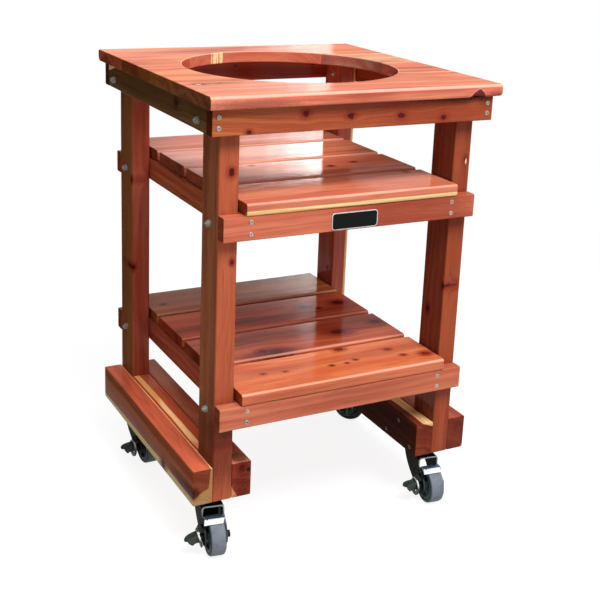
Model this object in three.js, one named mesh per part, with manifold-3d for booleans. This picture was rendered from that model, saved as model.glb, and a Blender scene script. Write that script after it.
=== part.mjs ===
// Patio table that carries a kamado grill: a boarded top with a round cut-out, two slatted
// shelves, four posts clamped between paired runners, and four braked swivel casters.
// Millimetres, +Z up, the front towards -Y, the origin on the floor under the middle.

import * as THREE from 'three';
import { mergeVertices } from 'three/addons/utils/BufferGeometryUtils.js';
import Module from 'manifold-3d';

const wasm = await Module();
wasm.setup();

// Driving sizes of the table
const overallHeight = 873.5;

const top = {
  width: 585,
  depth: 594,
  thickness: 23,
  sideOverhang: 9.5,
  frontOverhang: 15.5,
  seam: 0.5,
  seamRound: 1,
  frontRound: 4,
  rearRound: 9,
  endEase: 0.8,
  boardCount: 4,
};

const cutout = {
  radius: 210.5,
  rimRound: 2,
  segments: 72,
};

const post = {
  width: 38,
  depth: 73,
  edgeRound: 3,
  endEase: 1,
};

const apron = {
  thickness: 24,
  topHeight: 47,
  shelfHeight: 44,
  edgeRound: 2.5,
  endEase: 1,
};

const shelf = {
  thickness: 23,
  midDrop: 188,
  lowRise: 332.5,
  gap: 12,
  overhang: 3,
  sideClearance: 4,
  edgeRound: 5,
  endEase: 1.5,
  boardCount: 4,
};

const runner = {
  width: 39,
  height: 70,
  edgeRound: 2.5,
  endEase: 1,
};

// Driving sizes of a caster, which stands on the floor with its pivot over its own origin
const caster = {
  height: 115,
  insetFromEnd: 62.5,
  trail: 50,
  runningGap: 0.3,
};

const plate = {
  width: 64,
  length: 92,
  thickness: 3,
  corner: 9,
  slotWidth: 8,
  slotLength: 13,
  slotInsetX: 11,
  slotInsetY: 12,
};

const race = {
  cupRadius: 29,
  cupWaist: 25,
  cupHeight: 9,
  swivelGap: 0.8,
  coneRadius: 27,
  coneWaist: 24,
  pinRadius: 5,
  pinClearance: 0.12,
  headRadius: 9,
  headHeight: 3.5,
};

const fork = {
  crownHeight: 91,
  width: 44,
  sheet: 3,
  bendRadius: 7,
  crownRear: 32,
  crownFront: 36.5,
  rearDrop: 10,
  frontDrop: 7,
  kneeForward: 35.7,
  kneeRise: 35.4,
  bossRadius: 17,
  noseShares: [0.7, 1.35],
};

const tyre = {
  radius: 37,
  width: 31,
  edgeRound: 5,
  coreRadius: 29,
  segments: 26,
};

const hub = {
  rimWidth: 27,
  rimWall: 4,
  webWidth: 15,
  bossRadius: 10,
  bossTaper: 2,
  boreClearance: 0.12,
  endClearance: 0.5,
  segments: 16,
};

const axle = {
  radius: 4,
  washerRadius: 9,
  washerThickness: 1.5,
  headAcross: 13,
  headHeight: 5.5,
  stubLength: 3,
};

const strap = {
  tyreGap: 1.5,
  thickness: 2,
  flatRear: 4,
  creaseDegrees: 6.5,
  frontDegrees: 29,
  leverSideRear: 21,
  leverSideFront: 25,
  plainSideRear: 18.5,
  plainSideFront: 11.5,
  earThickness: 1.5,
  earDepth: 13,
  earRearDegrees: 5,
  earFrontDegrees: 12,
};

const lever = {
  plateRadius: 18,
  plateThickness: 2.5,
  plateOffset: 32.5,
  nutHoleRadius: 10,
  hingeOffset: 28,
  hingeRise: 18,
  hingeTab: 3,
  knuckleRadius: 5,
  knuckleLength: 13,
  pinRadius: 2,
  pinClearance: 0.15,
  earThickness: 2.5,
  earGap: 0.4,
  earRadius: 4,
  reach: 62,
  pedalWidth: 24,
  pedalNeck: 18,
  pedalThickness: 2.5,
  pedalRise: 9.5,
  pedalFall: 6,
  flangeDepth: 16,
  flangeTipDepth: 4,
  flangeTipReach: 59,
  flangeFullReach: 50,
  flangeThickness: 2,
};

// Place of each caster on the base, how far it is turned from pointing straight forward, and
// how far its lever is pressed down: only the front left brake is on
const casterPlaces = [
  { name: 'front_left', sideX: -1, sideY: -1, turnDegrees: -9, leverDegrees: 14 },
  { name: 'front_right', sideX: 1, sideY: -1, turnDegrees: -7, leverDegrees: 0 },
  { name: 'rear_left', sideX: -1, sideY: 1, turnDegrees: 2, leverDegrees: 0 },
  { name: 'rear_right', sideX: 1, sideY: 1, turnDegrees: 42, leverDegrees: 0 },
];

// How far a cutting solid runs past what it cuts
const overrun = 5;

// Steps in a quarter round, twice over: fine for boards and metal, plain for frame timber
const fineArc = 2;
const plainArc = 1;

// Arcs that make up a whole round outline: few for pins and washers, more for wide discs
const smallArcs = 3;
const wideArcs = 4;

// Facets round the race and the king pin
const raceSegments = 16;

// Materials
const paint = (color, roughness, metalness) =>
  new THREE.MeshStandardMaterial({ color, roughness, metalness });
const cedarTop = () => paint(0xd0775a, 0.3, 0);
const cedarShelf = () => paint(0xc8694c, 0.32, 0);
const cedarFrame = () => paint(0xb4502f, 0.36, 0);
const cedarPost = () => paint(0xa9492c, 0.38, 0);
const cedarRunner = () => paint(0xa64b35, 0.38, 0);
const blackSteel = () => paint(0x23282a, 0.45, 0.6);
const zincSteel = () => paint(0xc9ced4, 0.3, 0.9);
const greyRubber = () => paint(0x7d8590, 0.65, 0);
const darkPlastic = () => paint(0x2c3236, 0.5, 0);

// Helpers that turn outlines into solids
const unitX = new THREE.Vector3(1, 0, 0);
const unitY = new THREE.Vector3(0, 1, 0);
const unitZ = new THREE.Vector3(0, 0, 1);

// A prism of an outline between two places on an axis, with eased ends if asked.
// Along X the outline lies in Y and Z, along Y in X and Z, along Z in X and Y.
function prism(shape, axis, low, high, ease = 0, arc = fineArc) {
  const geometry = new THREE.ExtrudeGeometry(shape, {
    depth: high - low - 2 * ease,
    steps: 1,
    curveSegments: arc,
    bevelEnabled: ease > 0,
    bevelThickness: ease,
    bevelSize: ease,
    bevelOffset: -ease,
    bevelSegments: 1,
  });
  if (axis === 'x') {
    geometry.translate(0, 0, low + ease);
    geometry.applyMatrix4(new THREE.Matrix4().makeBasis(unitY, unitZ, unitX));
  } else if (axis === 'y') {
    geometry.translate(0, 0, ease - high);
    geometry.applyMatrix4(new THREE.Matrix4().makeBasis(unitX, unitZ, unitY.clone().negate()));
  } else {
    geometry.translate(0, 0, low + ease);
  }
  return geometry;
}

// A rectangle about the origin, with a round on each corner, from low left, counterclockwise
function roundedRectangle(width, height, rounds) {
  const corners = [[-1, -1], [1, -1], [1, 1], [-1, 1]];
  const shape = new THREE.Shape();
  corners.forEach(([sideX, sideY], index) => {
    const radius = rounds[index];
    const start = Math.PI * (1 + index / 2);
    const centreX = sideX * (width / 2 - radius);
    const centreY = sideY * (height / 2 - radius);
    shape.absarc(centreX, centreY, radius, start, start + Math.PI / 2, false);
  });
  return shape;
}

const evenRectangle = (width, height, round) =>
  roundedRectangle(width, height, [round, round, round, round]);

// A round outline drawn as several equal arcs, wound clockwise when it is a hole
function circle(x, y, radius, arcCount, hole = false) {
  const outline = hole ? new THREE.Path() : new THREE.Shape();
  const turn = (hole ? -1 : 1) * 2 * Math.PI / arcCount;
  for (let index = 0; index < arcCount; index += 1) {
    outline.absarc(x, y, radius, index * turn, (index + 1) * turn, hole);
  }
  return outline;
}

// A body of revolution about an axis, from points of radius and height, low to high
function revolve(points, segments, axis) {
  const profile = points.map(([radius, height]) => new THREE.Vector2(radius, height));
  const geometry = new THREE.LatheGeometry(profile, segments);
  if (axis === 'z') {
    geometry.rotateX(Math.PI / 2);
  } else {
    geometry.rotateZ(-Math.PI / 2);
  }
  return geometry;
}

const moved = (geometry, x, y, z) => geometry.translate(x, y, z);

// A three.js geometry as a solid that can be joined and cut
function solid(geometry) {
  const bare = geometry.clone();
  bare.deleteAttribute('normal');
  bare.deleteAttribute('uv');
  const merged = mergeVertices(bare);
  return new wasm.Manifold(new wasm.Mesh({
    numProp: 3,
    vertProperties: new Float32Array(merged.attributes.position.array),
    triVerts: new Uint32Array(merged.index.array),
  }));
}

function geometryOf(body) {
  const result = body.getMesh();
  const geometry = new THREE.BufferGeometry();
  geometry.setAttribute('position', new THREE.BufferAttribute(result.vertProperties, 3));
  geometry.setIndex(new THREE.BufferAttribute(result.triVerts, 1));
  geometry.computeVertexNormals();
  return geometry;
}

function piece(name, geometry, material) {
  const mesh = new THREE.Mesh(geometry, material);
  mesh.name = name;
  return mesh;
}

// Places that several pieces share
const postSpanX = top.width - 2 * (top.sideOverhang + apron.thickness);
const postSpanY = top.depth - 2 * (top.frontOverhang + apron.thickness);
const postTop = overallHeight - top.thickness;
const postCentreX = (postSpanX - post.width) / 2;
const postCentreY = (postSpanY - post.depth) / 2;
const postInnerX = postSpanX / 2 - post.width;
const runnerBottom = caster.height;
const runnerTop = runnerBottom + runner.height;

// Timber that runs along X, Y or Z, with eased edges and ends
function timberX(length, depth, height, round, ease, arc = plainArc) {
  return prism(evenRectangle(depth, height, round), 'x', -length / 2, length / 2, ease, arc);
}

function timberY(length, width, height, round, ease) {
  return prism(evenRectangle(width, height, round), 'y', -length / 2, length / 2, ease, plainArc);
}

// Top boards: the two outer ones run the whole width, the inner ones are parted by the cut-out
function cutoutTool() {
  const rimStart = top.thickness - cutout.rimRound;
  const rim = [0, 1, 2].map((step) => {
    const angle = step * Math.PI / 4;
    const radius = cutout.radius + cutout.rimRound * (1 - Math.cos(angle));
    return [radius, rimStart + cutout.rimRound * Math.sin(angle)];
  });
  const wide = cutout.radius + cutout.rimRound;
  const profile = [
    [0, -overrun],
    [cutout.radius, -overrun],
    ...rim,
    [wide, top.thickness + overrun],
    [0, top.thickness + overrun],
  ];
  return solid(moved(revolve(profile, cutout.segments, 'z'), 0, 0, postTop));
}

function topBoards() {
  const pitch = top.depth / top.boardCount;
  const boardDepth = pitch - top.seam;
  const tool = cutoutTool();
  const group = new THREE.Group();
  for (let index = 0; index < top.boardCount; index += 1) {
    const first = index === 0;
    const last = index === top.boardCount - 1;
    const front = first ? top.frontRound : top.seamRound;
    const rearLow = last ? top.rearRound : top.seamRound;
    const rearHigh = last ? top.frontRound : top.seamRound;
    const outline = roundedRectangle(boardDepth, top.thickness, [front, rearLow, rearHigh, front]);
    const y = (index + 0.5) * pitch - top.depth / 2;
    const spans = first || last
      ? [['', -top.width / 2, top.width / 2]]
      : [['_left', -top.width / 2, 0], ['_right', 0, top.width / 2]];
    for (const [suffix, low, high] of spans) {
      const blank = moved(prism(outline, 'x', low, high, top.endEase), 0, y, postTop + top.thickness / 2);
      const board = solid(blank).subtract(tool);
      group.add(piece(`top_board_${index + 1}${suffix}`, geometryOf(board), cedarTop()));
    }
  }
  return group;
}

// Frame under the top: the front and rear aprons cover the ends of the side ones
function topFrame() {
  const z = postTop - apron.topHeight / 2;
  const longLength = postSpanX + 2 * apron.thickness;
  const faceY = (postSpanY + apron.thickness) / 2;
  const faceX = (postSpanX + apron.thickness) / 2;
  const round = apron.edgeRound;
  const group = new THREE.Group();
  for (const [name, side] of [['front', -1], ['rear', 1]]) {
    const geometry = timberX(longLength, apron.thickness, apron.topHeight, round, apron.endEase);
    group.add(piece(`top_apron_${name}`, moved(geometry, 0, side * faceY, z), cedarFrame()));
  }
  for (const [name, side] of [['left', -1], ['right', 1]]) {
    const geometry = timberY(postSpanY, apron.thickness, apron.topHeight, round, apron.endEase);
    group.add(piece(`top_apron_${name}`, moved(geometry, side * faceX, 0, z), cedarFrame()));
  }
  return group;
}

// A shelf: two rails inside the posts, an apron on the front and rear faces, four boards
function shelfGroup(prefix, upperFace) {
  const underside = upperFace - shelf.thickness;
  const z = underside - apron.shelfHeight / 2;
  const faceY = (postSpanY + apron.thickness) / 2;
  const railX = postInnerX - apron.thickness / 2;
  const round = apron.edgeRound;
  const group = new THREE.Group();
  for (const [name, side] of [['front', -1], ['rear', 1]]) {
    const geometry = timberX(postSpanX, apron.thickness, apron.shelfHeight, round, apron.endEase);
    group.add(piece(`${prefix}_apron_${name}`, moved(geometry, 0, side * faceY, z), cedarFrame()));
  }
  for (const [name, side] of [['left', -1], ['right', 1]]) {
    const geometry = timberY(postSpanY, apron.thickness, apron.shelfHeight, round, apron.endEase);
    group.add(piece(`${prefix}_rail_${name}`, moved(geometry, side * railX, 0, z), cedarFrame()));
  }
  const wholeDepth = postSpanY + 2 * (apron.thickness + shelf.overhang);
  const boardDepth = (wholeDepth - (shelf.boardCount - 1) * shelf.gap) / shelf.boardCount;
  const boardLength = 2 * (postInnerX - shelf.sideClearance);
  const edge = shelf.edgeRound;
  for (let index = 0; index < shelf.boardCount; index += 1) {
    const y = (boardDepth - wholeDepth) / 2 + index * (boardDepth + shelf.gap);
    const geometry = timberX(boardLength, boardDepth, shelf.thickness, edge, shelf.endEase, fineArc);
    moved(geometry, 0, y, underside + shelf.thickness / 2);
    group.add(piece(`${prefix}_board_${index + 1}`, geometry, cedarShelf()));
  }
  return group;
}

function posts() {
  const group = new THREE.Group();
  for (const { name, sideX, sideY } of casterPlaces) {
    const outline = evenRectangle(post.width, post.depth, post.edgeRound);
    const geometry = prism(outline, 'z', runnerBottom, postTop, post.endEase, plainArc);
    moved(geometry, sideX * postCentreX, sideY * postCentreY, 0);
    group.add(piece(`post_${name}`, geometry, cedarPost()));
  }
  return group;
}

// Base of one side: an outer and an inner runner with the posts and a filler between them
function sideBase(name, side) {
  const z = (runnerBottom + runnerTop) / 2;
  const offset = (post.width + runner.width) / 2;
  const fillerLength = postSpanY - 2 * post.depth;
  const group = new THREE.Group();
  for (const [place, shift] of [['outer', offset], ['inner', -offset]]) {
    const geometry = timberY(postSpanY, runner.width, runner.height, runner.edgeRound, runner.endEase);
    moved(geometry, side * (postCentreX + shift), 0, z);
    group.add(piece(`runner_${name}_${place}`, geometry, cedarRunner()));
  }
  const filler = timberY(fillerLength, post.width, runner.height, runner.edgeRound, runner.endEase);
  group.add(piece(`filler_${name}`, moved(filler, side * postCentreX, 0, z), cedarRunner()));
  return group;
}

// Caster pieces, with the axle along X and the wheel trailing towards -Y
const axleY = -caster.trail;
const axleZ = tyre.radius;
const plateUnderside = caster.height - plate.thickness;
const cupUnderside = plateUnderside - race.cupHeight;
const crownUnderside = fork.crownHeight - fork.sheet;
const legOuter = fork.width / 2;
const legInner = legOuter - fork.sheet;
// Mounting plate with its slots, the pressed cup and the king pin that carries the fork
function casterPlate() {
  const outline = evenRectangle(plate.width, plate.length, plate.corner);
  const slotX = plate.width / 2 - plate.slotInsetX;
  const slotY = plate.length / 2 - plate.slotInsetY;
  const straight = (plate.slotLength - plate.slotWidth) / 2;
  const radius = plate.slotWidth / 2;
  for (const sideX of [-1, 1]) {
    for (const sideY of [-1, 1]) {
      const slot = new THREE.Path();
      slot.absarc(sideX * slotX, sideY * slotY + straight, radius, Math.PI, 0, true);
      slot.absarc(sideX * slotX, sideY * slotY - straight, radius, 0, -Math.PI, true);
      outline.holes.push(slot);
    }
  }
  const flat = solid(prism(outline, 'z', plateUnderside, caster.height));
  const headTop = crownUnderside - caster.runningGap;
  const cupAndPin = solid(revolve([
    [0, headTop - race.headHeight],
    [race.headRadius - race.headHeight / 2, headTop - race.headHeight],
    [race.headRadius, headTop],
    [race.pinRadius, headTop],
    [race.pinRadius, cupUnderside],
    [race.cupWaist, cupUnderside],
    [race.cupRadius, plateUnderside],
    [race.cupRadius, plateUnderside + plate.thickness / 2],
    [0, plateUnderside + plate.thickness / 2],
  ], raceSegments, 'z'));
  return geometryOf(flat.add(cupAndPin));
}

// Bent sheet of the fork: a crown with a rounded bend on each side and two upright legs
function forkSection() {
  const inner = fork.bendRadius - fork.sheet;
  const low = axleZ - fork.bossRadius - overrun;
  const shape = new THREE.Shape();
  shape.moveTo(-legOuter, low);
  shape.lineTo(-legInner, low);
  shape.absarc(-legInner + inner, crownUnderside - inner, inner, Math.PI, Math.PI / 2, true);
  shape.absarc(legInner - inner, crownUnderside - inner, inner, Math.PI / 2, 0, true);
  shape.lineTo(legInner, low);
  shape.lineTo(legOuter, low);
  const bend = fork.bendRadius;
  shape.absarc(legOuter - bend, fork.crownHeight - bend, bend, 0, Math.PI / 2, false);
  shape.absarc(bend - legOuter, fork.crownHeight - bend, bend, Math.PI / 2, Math.PI, false);
  return shape;
}

// Side outline of the fork: a deep crown that sweeps down and forward to a round boss
function forkSide() {
  const kneeZ = axleZ + fork.kneeRise;
  const rearShoulder = fork.crownHeight - fork.rearDrop;
  const shape = new THREE.Shape();
  shape.moveTo(fork.crownRear, fork.crownHeight + overrun);
  shape.lineTo(-fork.crownFront, fork.crownHeight + overrun);
  shape.lineTo(-fork.crownFront, fork.crownHeight - fork.frontDrop);
  shape.lineTo(-fork.kneeForward, kneeZ);
  const [noseForward, noseUp] = fork.noseShares.map((share) => share * fork.bossRadius);
  shape.quadraticCurveTo(axleY - noseForward, axleZ + noseUp, axleY - fork.bossRadius, axleZ);
  shape.absarc(axleY, axleZ, fork.bossRadius, Math.PI, 1.35 * Math.PI, false);
  shape.absarc(axleY, axleZ, fork.bossRadius, 1.35 * Math.PI, 1.7 * Math.PI, false);
  shape.quadraticCurveTo(fork.crownRear / 2, axleZ + fork.bossRadius / 2, fork.crownRear, rearShoulder);
  return shape;
}

// Hexagon prism along X, for the axle's head and nut
function hexPrism(low, high, y, z) {
  const outline = new THREE.Shape();
  const radius = axle.headAcross / 2 / Math.cos(Math.PI / 6);
  for (let corner = 0; corner < 6; corner += 1) {
    const angle = corner * Math.PI / 3;
    const place = [y + radius * Math.cos(angle), z + radius * Math.sin(angle)];
    if (corner === 0) {
      outline.moveTo(...place);
    } else {
      outline.lineTo(...place);
    }
  }
  return solid(prism(outline, 'x', low, high));
}

// Axle bolt with a washer and a hexagon at each end, fast in the fork's bosses
function axleBolt() {
  const washerEnd = legOuter + axle.washerThickness;
  const headEnd = washerEnd + axle.headHeight;
  const disc = (radius) => circle(axleY, axleZ, radius, smallArcs);
  const round = (radius, low, high) => solid(prism(disc(radius), 'x', low, high));
  const shank = round(axle.radius, -headEnd - axle.stubLength, headEnd);
  let bolt = shank;
  for (const side of [-1, 1]) {
    const [washerLow, washerHigh] = side < 0 ? [-washerEnd, -legOuter] : [legOuter, washerEnd];
    const [headLow, headHigh] = side < 0 ? [-headEnd, -washerEnd] : [washerEnd, headEnd];
    bolt = bolt.add(round(axle.washerRadius, washerLow, washerHigh));
    bolt = bolt.add(hexPrism(headLow, headHigh, axleY, axleZ));
  }
  return bolt;
}

const leverHingeZ = axleZ + lever.hingeRise;

// The two ears on the left leg that hold the lever's hinge pin
function leverEars() {
  const ears = [];
  const half = lever.knuckleLength / 2 + lever.earGap;
  const pinHole = lever.pinRadius + lever.pinClearance;
  for (const side of [-1, 1]) {
    const shape = new THREE.Shape();
    shape.moveTo(-legOuter + fork.sheet / 2, leverHingeZ - lever.earRadius);
    shape.lineTo(-legOuter + fork.sheet / 2, leverHingeZ + lever.earRadius);
    shape.absarc(-lever.hingeOffset, leverHingeZ, lever.earRadius, Math.PI / 2, 1.5 * Math.PI, false);
    shape.holes.push(circle(-lever.hingeOffset, leverHingeZ, pinHole, smallArcs, true));
    const middle = axleY + side * (half + lever.earThickness / 2);
    ears.push(solid(prism(shape, 'y', middle - lever.earThickness / 2, middle + lever.earThickness / 2)));
  }
  return ears;
}

function casterFork() {
  const rear = fork.crownRear + overrun;
  const front = axleY - fork.bossRadius - overrun;
  const section = solid(prism(forkSection(), 'y', front, rear));
  const side = solid(prism(forkSide(), 'x', -legOuter - overrun, legOuter + overrun));
  const cone = solid(revolve([
    [0, crownUnderside + fork.sheet / 2],
    [race.coneRadius, crownUnderside + fork.sheet / 2],
    [race.coneWaist, cupUnderside - race.swivelGap],
    [0, cupUnderside - race.swivelGap],
  ], raceSegments, 'z'));
  const pinHole = race.pinRadius / Math.cos(Math.PI / raceSegments) + race.pinClearance;
  const hole = solid(revolve([
    [0, crownUnderside - overrun],
    [pinHole, crownUnderside - overrun],
    [pinHole, cupUnderside + overrun],
    [0, cupUnderside + overrun],
  ], raceSegments, 'z'));
  let body = section.intersect(side).add(cone).subtract(hole).add(axleBolt());
  for (const ear of leverEars()) {
    body = body.add(ear);
  }
  return geometryOf(body);
}

// Bright brake strap: flat at its rear, bent down over the tread and skewed towards the
// lever, with an ear inside each leg
function brakeStrap() {
  const inner = tyre.radius + strap.tyreGap;
  const outer = inner + strap.thickness;
  const toAngle = (degrees) => Math.PI / 2 + THREE.MathUtils.degToRad(degrees);
  const crease = toAngle(strap.creaseDegrees);
  const front = toAngle(strap.frontDegrees);
  const rearY = axleY + strap.flatRear;
  const flatZ = axleZ + inner * Math.sin(crease);
  const profile = new THREE.Shape();
  profile.absarc(axleY, axleZ, outer, crease, front, false);
  profile.absarc(axleY, axleZ, inner, front, crease, true);
  profile.lineTo(rearY, flatZ);
  profile.lineTo(rearY, flatZ + strap.thickness);
  const creaseY = axleY + outer * Math.cos(crease);
  const frontY = axleY + outer * Math.cos(front);
  const plan = new THREE.Shape([
    [strap.plainSideRear, rearY + overrun],
    [-strap.leverSideRear, rearY + overrun],
    [-strap.leverSideRear, creaseY],
    [-strap.leverSideFront, frontY],
    [-strap.leverSideFront, frontY - overrun],
    [strap.plainSideFront, frontY - overrun],
    [strap.plainSideFront, frontY],
    [strap.plainSideRear, creaseY],
  ].map(([x, y]) => new THREE.Vector2(x, y)));
  const band = solid(prism(profile, 'x', -strap.leverSideFront, strap.plainSideRear));
  let body = band.intersect(solid(prism(plan, 'z', axleZ, flatZ + overrun)));
  const ear = new THREE.Shape();
  const earRear = toAngle(-strap.earRearDegrees);
  const earFront = toAngle(strap.earFrontDegrees);
  ear.absarc(axleY, axleZ, inner + strap.thickness / 2, earRear, earFront, false);
  ear.absarc(axleY, axleZ, inner - strap.earDepth, earFront, earRear, true);
  const earOuter = legInner - caster.runningGap;
  for (const low of [-earOuter, earOuter - strap.earThickness]) {
    body = body.add(solid(prism(ear, 'x', low, low + strap.earThickness)));
  }
  return geometryOf(body);
}

// Plan of the lever's pedal: a neck that widens to a rounded tread
function pedalPlan(root) {
  const wide = lever.pedalWidth / 2;
  const neck = lever.pedalNeck / 2;
  const shoulder = lever.pedalWidth - lever.reach;
  const plan = new THREE.Shape();
  plan.moveTo(root, axleY - neck);
  plan.lineTo(root, axleY + neck);
  plan.quadraticCurveTo((root + shoulder) / 2, axleY + neck, shoulder, axleY + wide);
  plan.quadraticCurveTo(-lever.reach, axleY + wide, -lever.reach, axleY);
  plan.quadraticCurveTo(-lever.reach, axleY - wide, shoulder, axleY - wide);
  plan.quadraticCurveTo((root + shoulder) / 2, axleY - neck, root, axleY - neck);
  return plan;
}

// Brake lever: a round plate over the axle nut, hinged at its top, and a pedal of folded
// sheet with a flange down each side
function brakeLever() {
  const plateHigh = -lever.plateOffset;
  const plateLow = plateHigh - lever.plateThickness;
  const disc = circle(axleY, axleZ, lever.plateRadius, wideArcs);
  disc.holes.push(circle(axleY, axleZ, lever.nutHoleRadius, wideArcs, true));
  const half = lever.knuckleLength / 2;
  const tabHeight = lever.hingeTab + lever.knuckleRadius;
  const tab = new THREE.BoxGeometry(lever.plateThickness, lever.knuckleLength, tabHeight);
  const tabZ = leverHingeZ + lever.hingeTab - tabHeight / 2;
  const pinHalf = half + lever.earGap + lever.earThickness;
  const barrel = (radius, reach) => {
    const outline = circle(-lever.hingeOffset, leverHingeZ, radius, smallArcs);
    return solid(prism(outline, 'y', axleY - reach, axleY + reach));
  };
  const root = (plateLow + plateHigh) / 2;
  const rootZ = axleZ + lever.pedalRise;
  const tipZ = rootZ - lever.pedalFall;
  const slope = new THREE.Shape([
    [root, rootZ],
    [root, rootZ + lever.pedalThickness],
    [-lever.reach, tipZ + lever.pedalThickness],
    [-lever.reach, tipZ],
  ].map(([x, z]) => new THREE.Vector2(x, z)));
  const blank = solid(prism(pedalPlan(root), 'z', axleZ, leverHingeZ));
  const wide = lever.pedalWidth / 2 + overrun;
  const tread = blank.intersect(solid(prism(slope, 'y', axleY - wide, axleY + wide)));
  const flange = new THREE.Shape([
    [root, rootZ + lever.pedalThickness / 2],
    [-lever.flangeTipReach, tipZ + lever.pedalThickness / 2],
    [-lever.flangeTipReach, tipZ - lever.flangeTipDepth],
    [-lever.flangeFullReach, rootZ - lever.flangeDepth],
    [root, rootZ - lever.flangeDepth],
  ].map(([x, z]) => new THREE.Vector2(x, z)));
  let body = solid(prism(disc, 'x', plateLow, plateHigh))
    .add(solid(moved(tab, root, axleY, tabZ)))
    .add(barrel(lever.knuckleRadius, half))
    .add(barrel(lever.pinRadius, pinHalf))
    .add(tread);
  for (const side of [-1, 1]) {
    const middle = axleY + side * (lever.pedalNeck - lever.flangeThickness) / 2;
    const low = middle - lever.flangeThickness / 2;
    body = body.add(solid(prism(flange, 'y', low, low + lever.flangeThickness)));
  }
  return geometryOf(body);
}

// Tyre and hub are turned about the axle, low to high along X
function wheelTyre() {
  const half = tyre.width / 2;
  const round = tyre.edgeRound;
  const core = tyre.coreRadius + caster.runningGap;
  const slope = round * (1 - Math.SQRT1_2);
  const lowSide = [
    [core, -half],
    [tyre.radius - round, -half],
    [tyre.radius - slope, -half + slope],
    [tyre.radius, -half + round],
  ];
  const highSide = lowSide.map(([radius, x]) => [radius, -x]).reverse();
  const profile = [...lowSide, ...highSide, lowSide[0]];
  return moved(revolve(profile, tyre.segments, 'x'), 0, axleY, axleZ);
}

function wheelHub() {
  const bore = axle.radius / Math.cos(Math.PI / hub.segments) + hub.boreClearance;
  const end = legInner - hub.endClearance;
  const rim = hub.rimWidth / 2;
  const web = hub.webWidth / 2;
  const rimInner = tyre.coreRadius - hub.rimWall;
  const lowSide = [
    [bore, -end],
    [hub.bossRadius - hub.bossTaper, -end],
    [hub.bossRadius + hub.bossTaper, -web],
    [rimInner - hub.bossTaper, -web],
    [rimInner, -rim],
    [tyre.coreRadius, -rim],
  ];
  const highSide = lowSide.map(([radius, x]) => [radius, -x]).reverse();
  const profile = [...lowSide, ...highSide, lowSide[0]];
  return moved(revolve(profile, hub.segments, 'x'), 0, axleY, axleZ);
}

function casterAt({ name, sideX, sideY, turnDegrees, leverDegrees }) {
  const x = sideX * postCentreX;
  const y = sideY * (postSpanY / 2 - caster.insetFromEnd);
  const group = new THREE.Group();
  group.position.set(x, y, 0);
  group.add(piece(`caster_${name}_plate`, casterPlate(), blackSteel()));
  const swivel = new THREE.Group();
  swivel.rotation.z = THREE.MathUtils.degToRad(turnDegrees);
  swivel.add(piece(`caster_${name}_fork`, casterFork(), blackSteel()));
  swivel.add(piece(`caster_${name}_strap`, brakeStrap(), zincSteel()));
  const hinge = new THREE.Group();
  hinge.position.set(-lever.hingeOffset, axleY, leverHingeZ);
  hinge.rotation.y = -THREE.MathUtils.degToRad(leverDegrees);
  const leverAtHinge = moved(brakeLever(), lever.hingeOffset, -axleY, -leverHingeZ);
  hinge.add(piece(`caster_${name}_lever`, leverAtHinge, blackSteel()));
  swivel.add(hinge);
  swivel.add(piece(`caster_${name}_tyre`, wheelTyre(), greyRubber()));
  swivel.add(piece(`caster_${name}_hub`, wheelHub(), darkPlastic()));
  group.add(swivel);
  return group;
}

const table = new THREE.Group();
table.add(topBoards());
table.add(topFrame());
table.add(shelfGroup('mid', overallHeight - shelf.midDrop));
table.add(shelfGroup('low', shelf.lowRise));
table.add(posts());
table.add(sideBase('left', -1));
table.add(sideBase('right', 1));
for (const place of casterPlaces) {
  table.add(casterAt(place));
}

export default table;
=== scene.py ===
import math
import bpy
import numpy as np
from mathutils import Matrix, Vector


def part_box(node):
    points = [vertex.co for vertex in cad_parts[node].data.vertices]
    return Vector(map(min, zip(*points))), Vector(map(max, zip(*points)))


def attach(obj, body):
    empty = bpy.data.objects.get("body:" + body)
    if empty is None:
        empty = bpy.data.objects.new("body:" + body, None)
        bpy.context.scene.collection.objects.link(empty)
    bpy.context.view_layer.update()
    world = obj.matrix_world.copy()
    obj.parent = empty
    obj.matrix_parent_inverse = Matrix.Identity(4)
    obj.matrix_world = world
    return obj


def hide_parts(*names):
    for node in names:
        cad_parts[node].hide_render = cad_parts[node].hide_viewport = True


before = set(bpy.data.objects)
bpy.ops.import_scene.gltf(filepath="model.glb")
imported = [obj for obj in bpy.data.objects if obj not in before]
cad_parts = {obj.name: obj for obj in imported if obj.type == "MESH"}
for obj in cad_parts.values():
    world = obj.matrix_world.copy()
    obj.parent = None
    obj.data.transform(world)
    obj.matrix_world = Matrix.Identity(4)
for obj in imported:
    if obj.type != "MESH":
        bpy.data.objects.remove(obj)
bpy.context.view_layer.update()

mm = 0.001
print("frame loaded:", len(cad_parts), "nodes")


# Shader helpers

def tone(code, gain=1.0):
    # An sRGB hex code as linear colour
    parts = [int(code[i:i + 2], 16) / 255 for i in (0, 2, 4)]
    linear = [c / 12.92 if c <= 0.04045 else ((c + 0.055) / 1.055) ** 2.4 for c in parts]
    return (*[c * gain for c in linear], 1.0)


def put(tree, value, socket):
    if isinstance(value, bpy.types.NodeSocket):
        tree.links.new(value, socket)
    elif value is not None:
        socket.default_value = value


def addNode(tree, kind, *values, **settings):
    # A shader node with its settings, and with values or links for its first inputs
    node = tree.nodes.new("ShaderNode" + kind)
    for name, value in settings.items():
        setattr(node, name, value)
    for value, socket in zip(values, node.inputs):
        put(tree, value, socket)
    return node


def fill(tree, node, amounts):
    # Inputs by their labels
    for label, amount in amounts.items():
        put(tree, amount, node.inputs[label])
    return node.outputs


def calc(tree, operation, *values, clamp=False):
    return addNode(tree, "Math", *values, operation=operation, use_clamp=clamp).outputs[0]


def plus(tree, first, second):
    return calc(tree, "ADD", first, second)


def minus(tree, first, second):
    return calc(tree, "SUBTRACT", first, second)


def times(tree, first, second):
    return calc(tree, "MULTIPLY", first, second)


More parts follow.
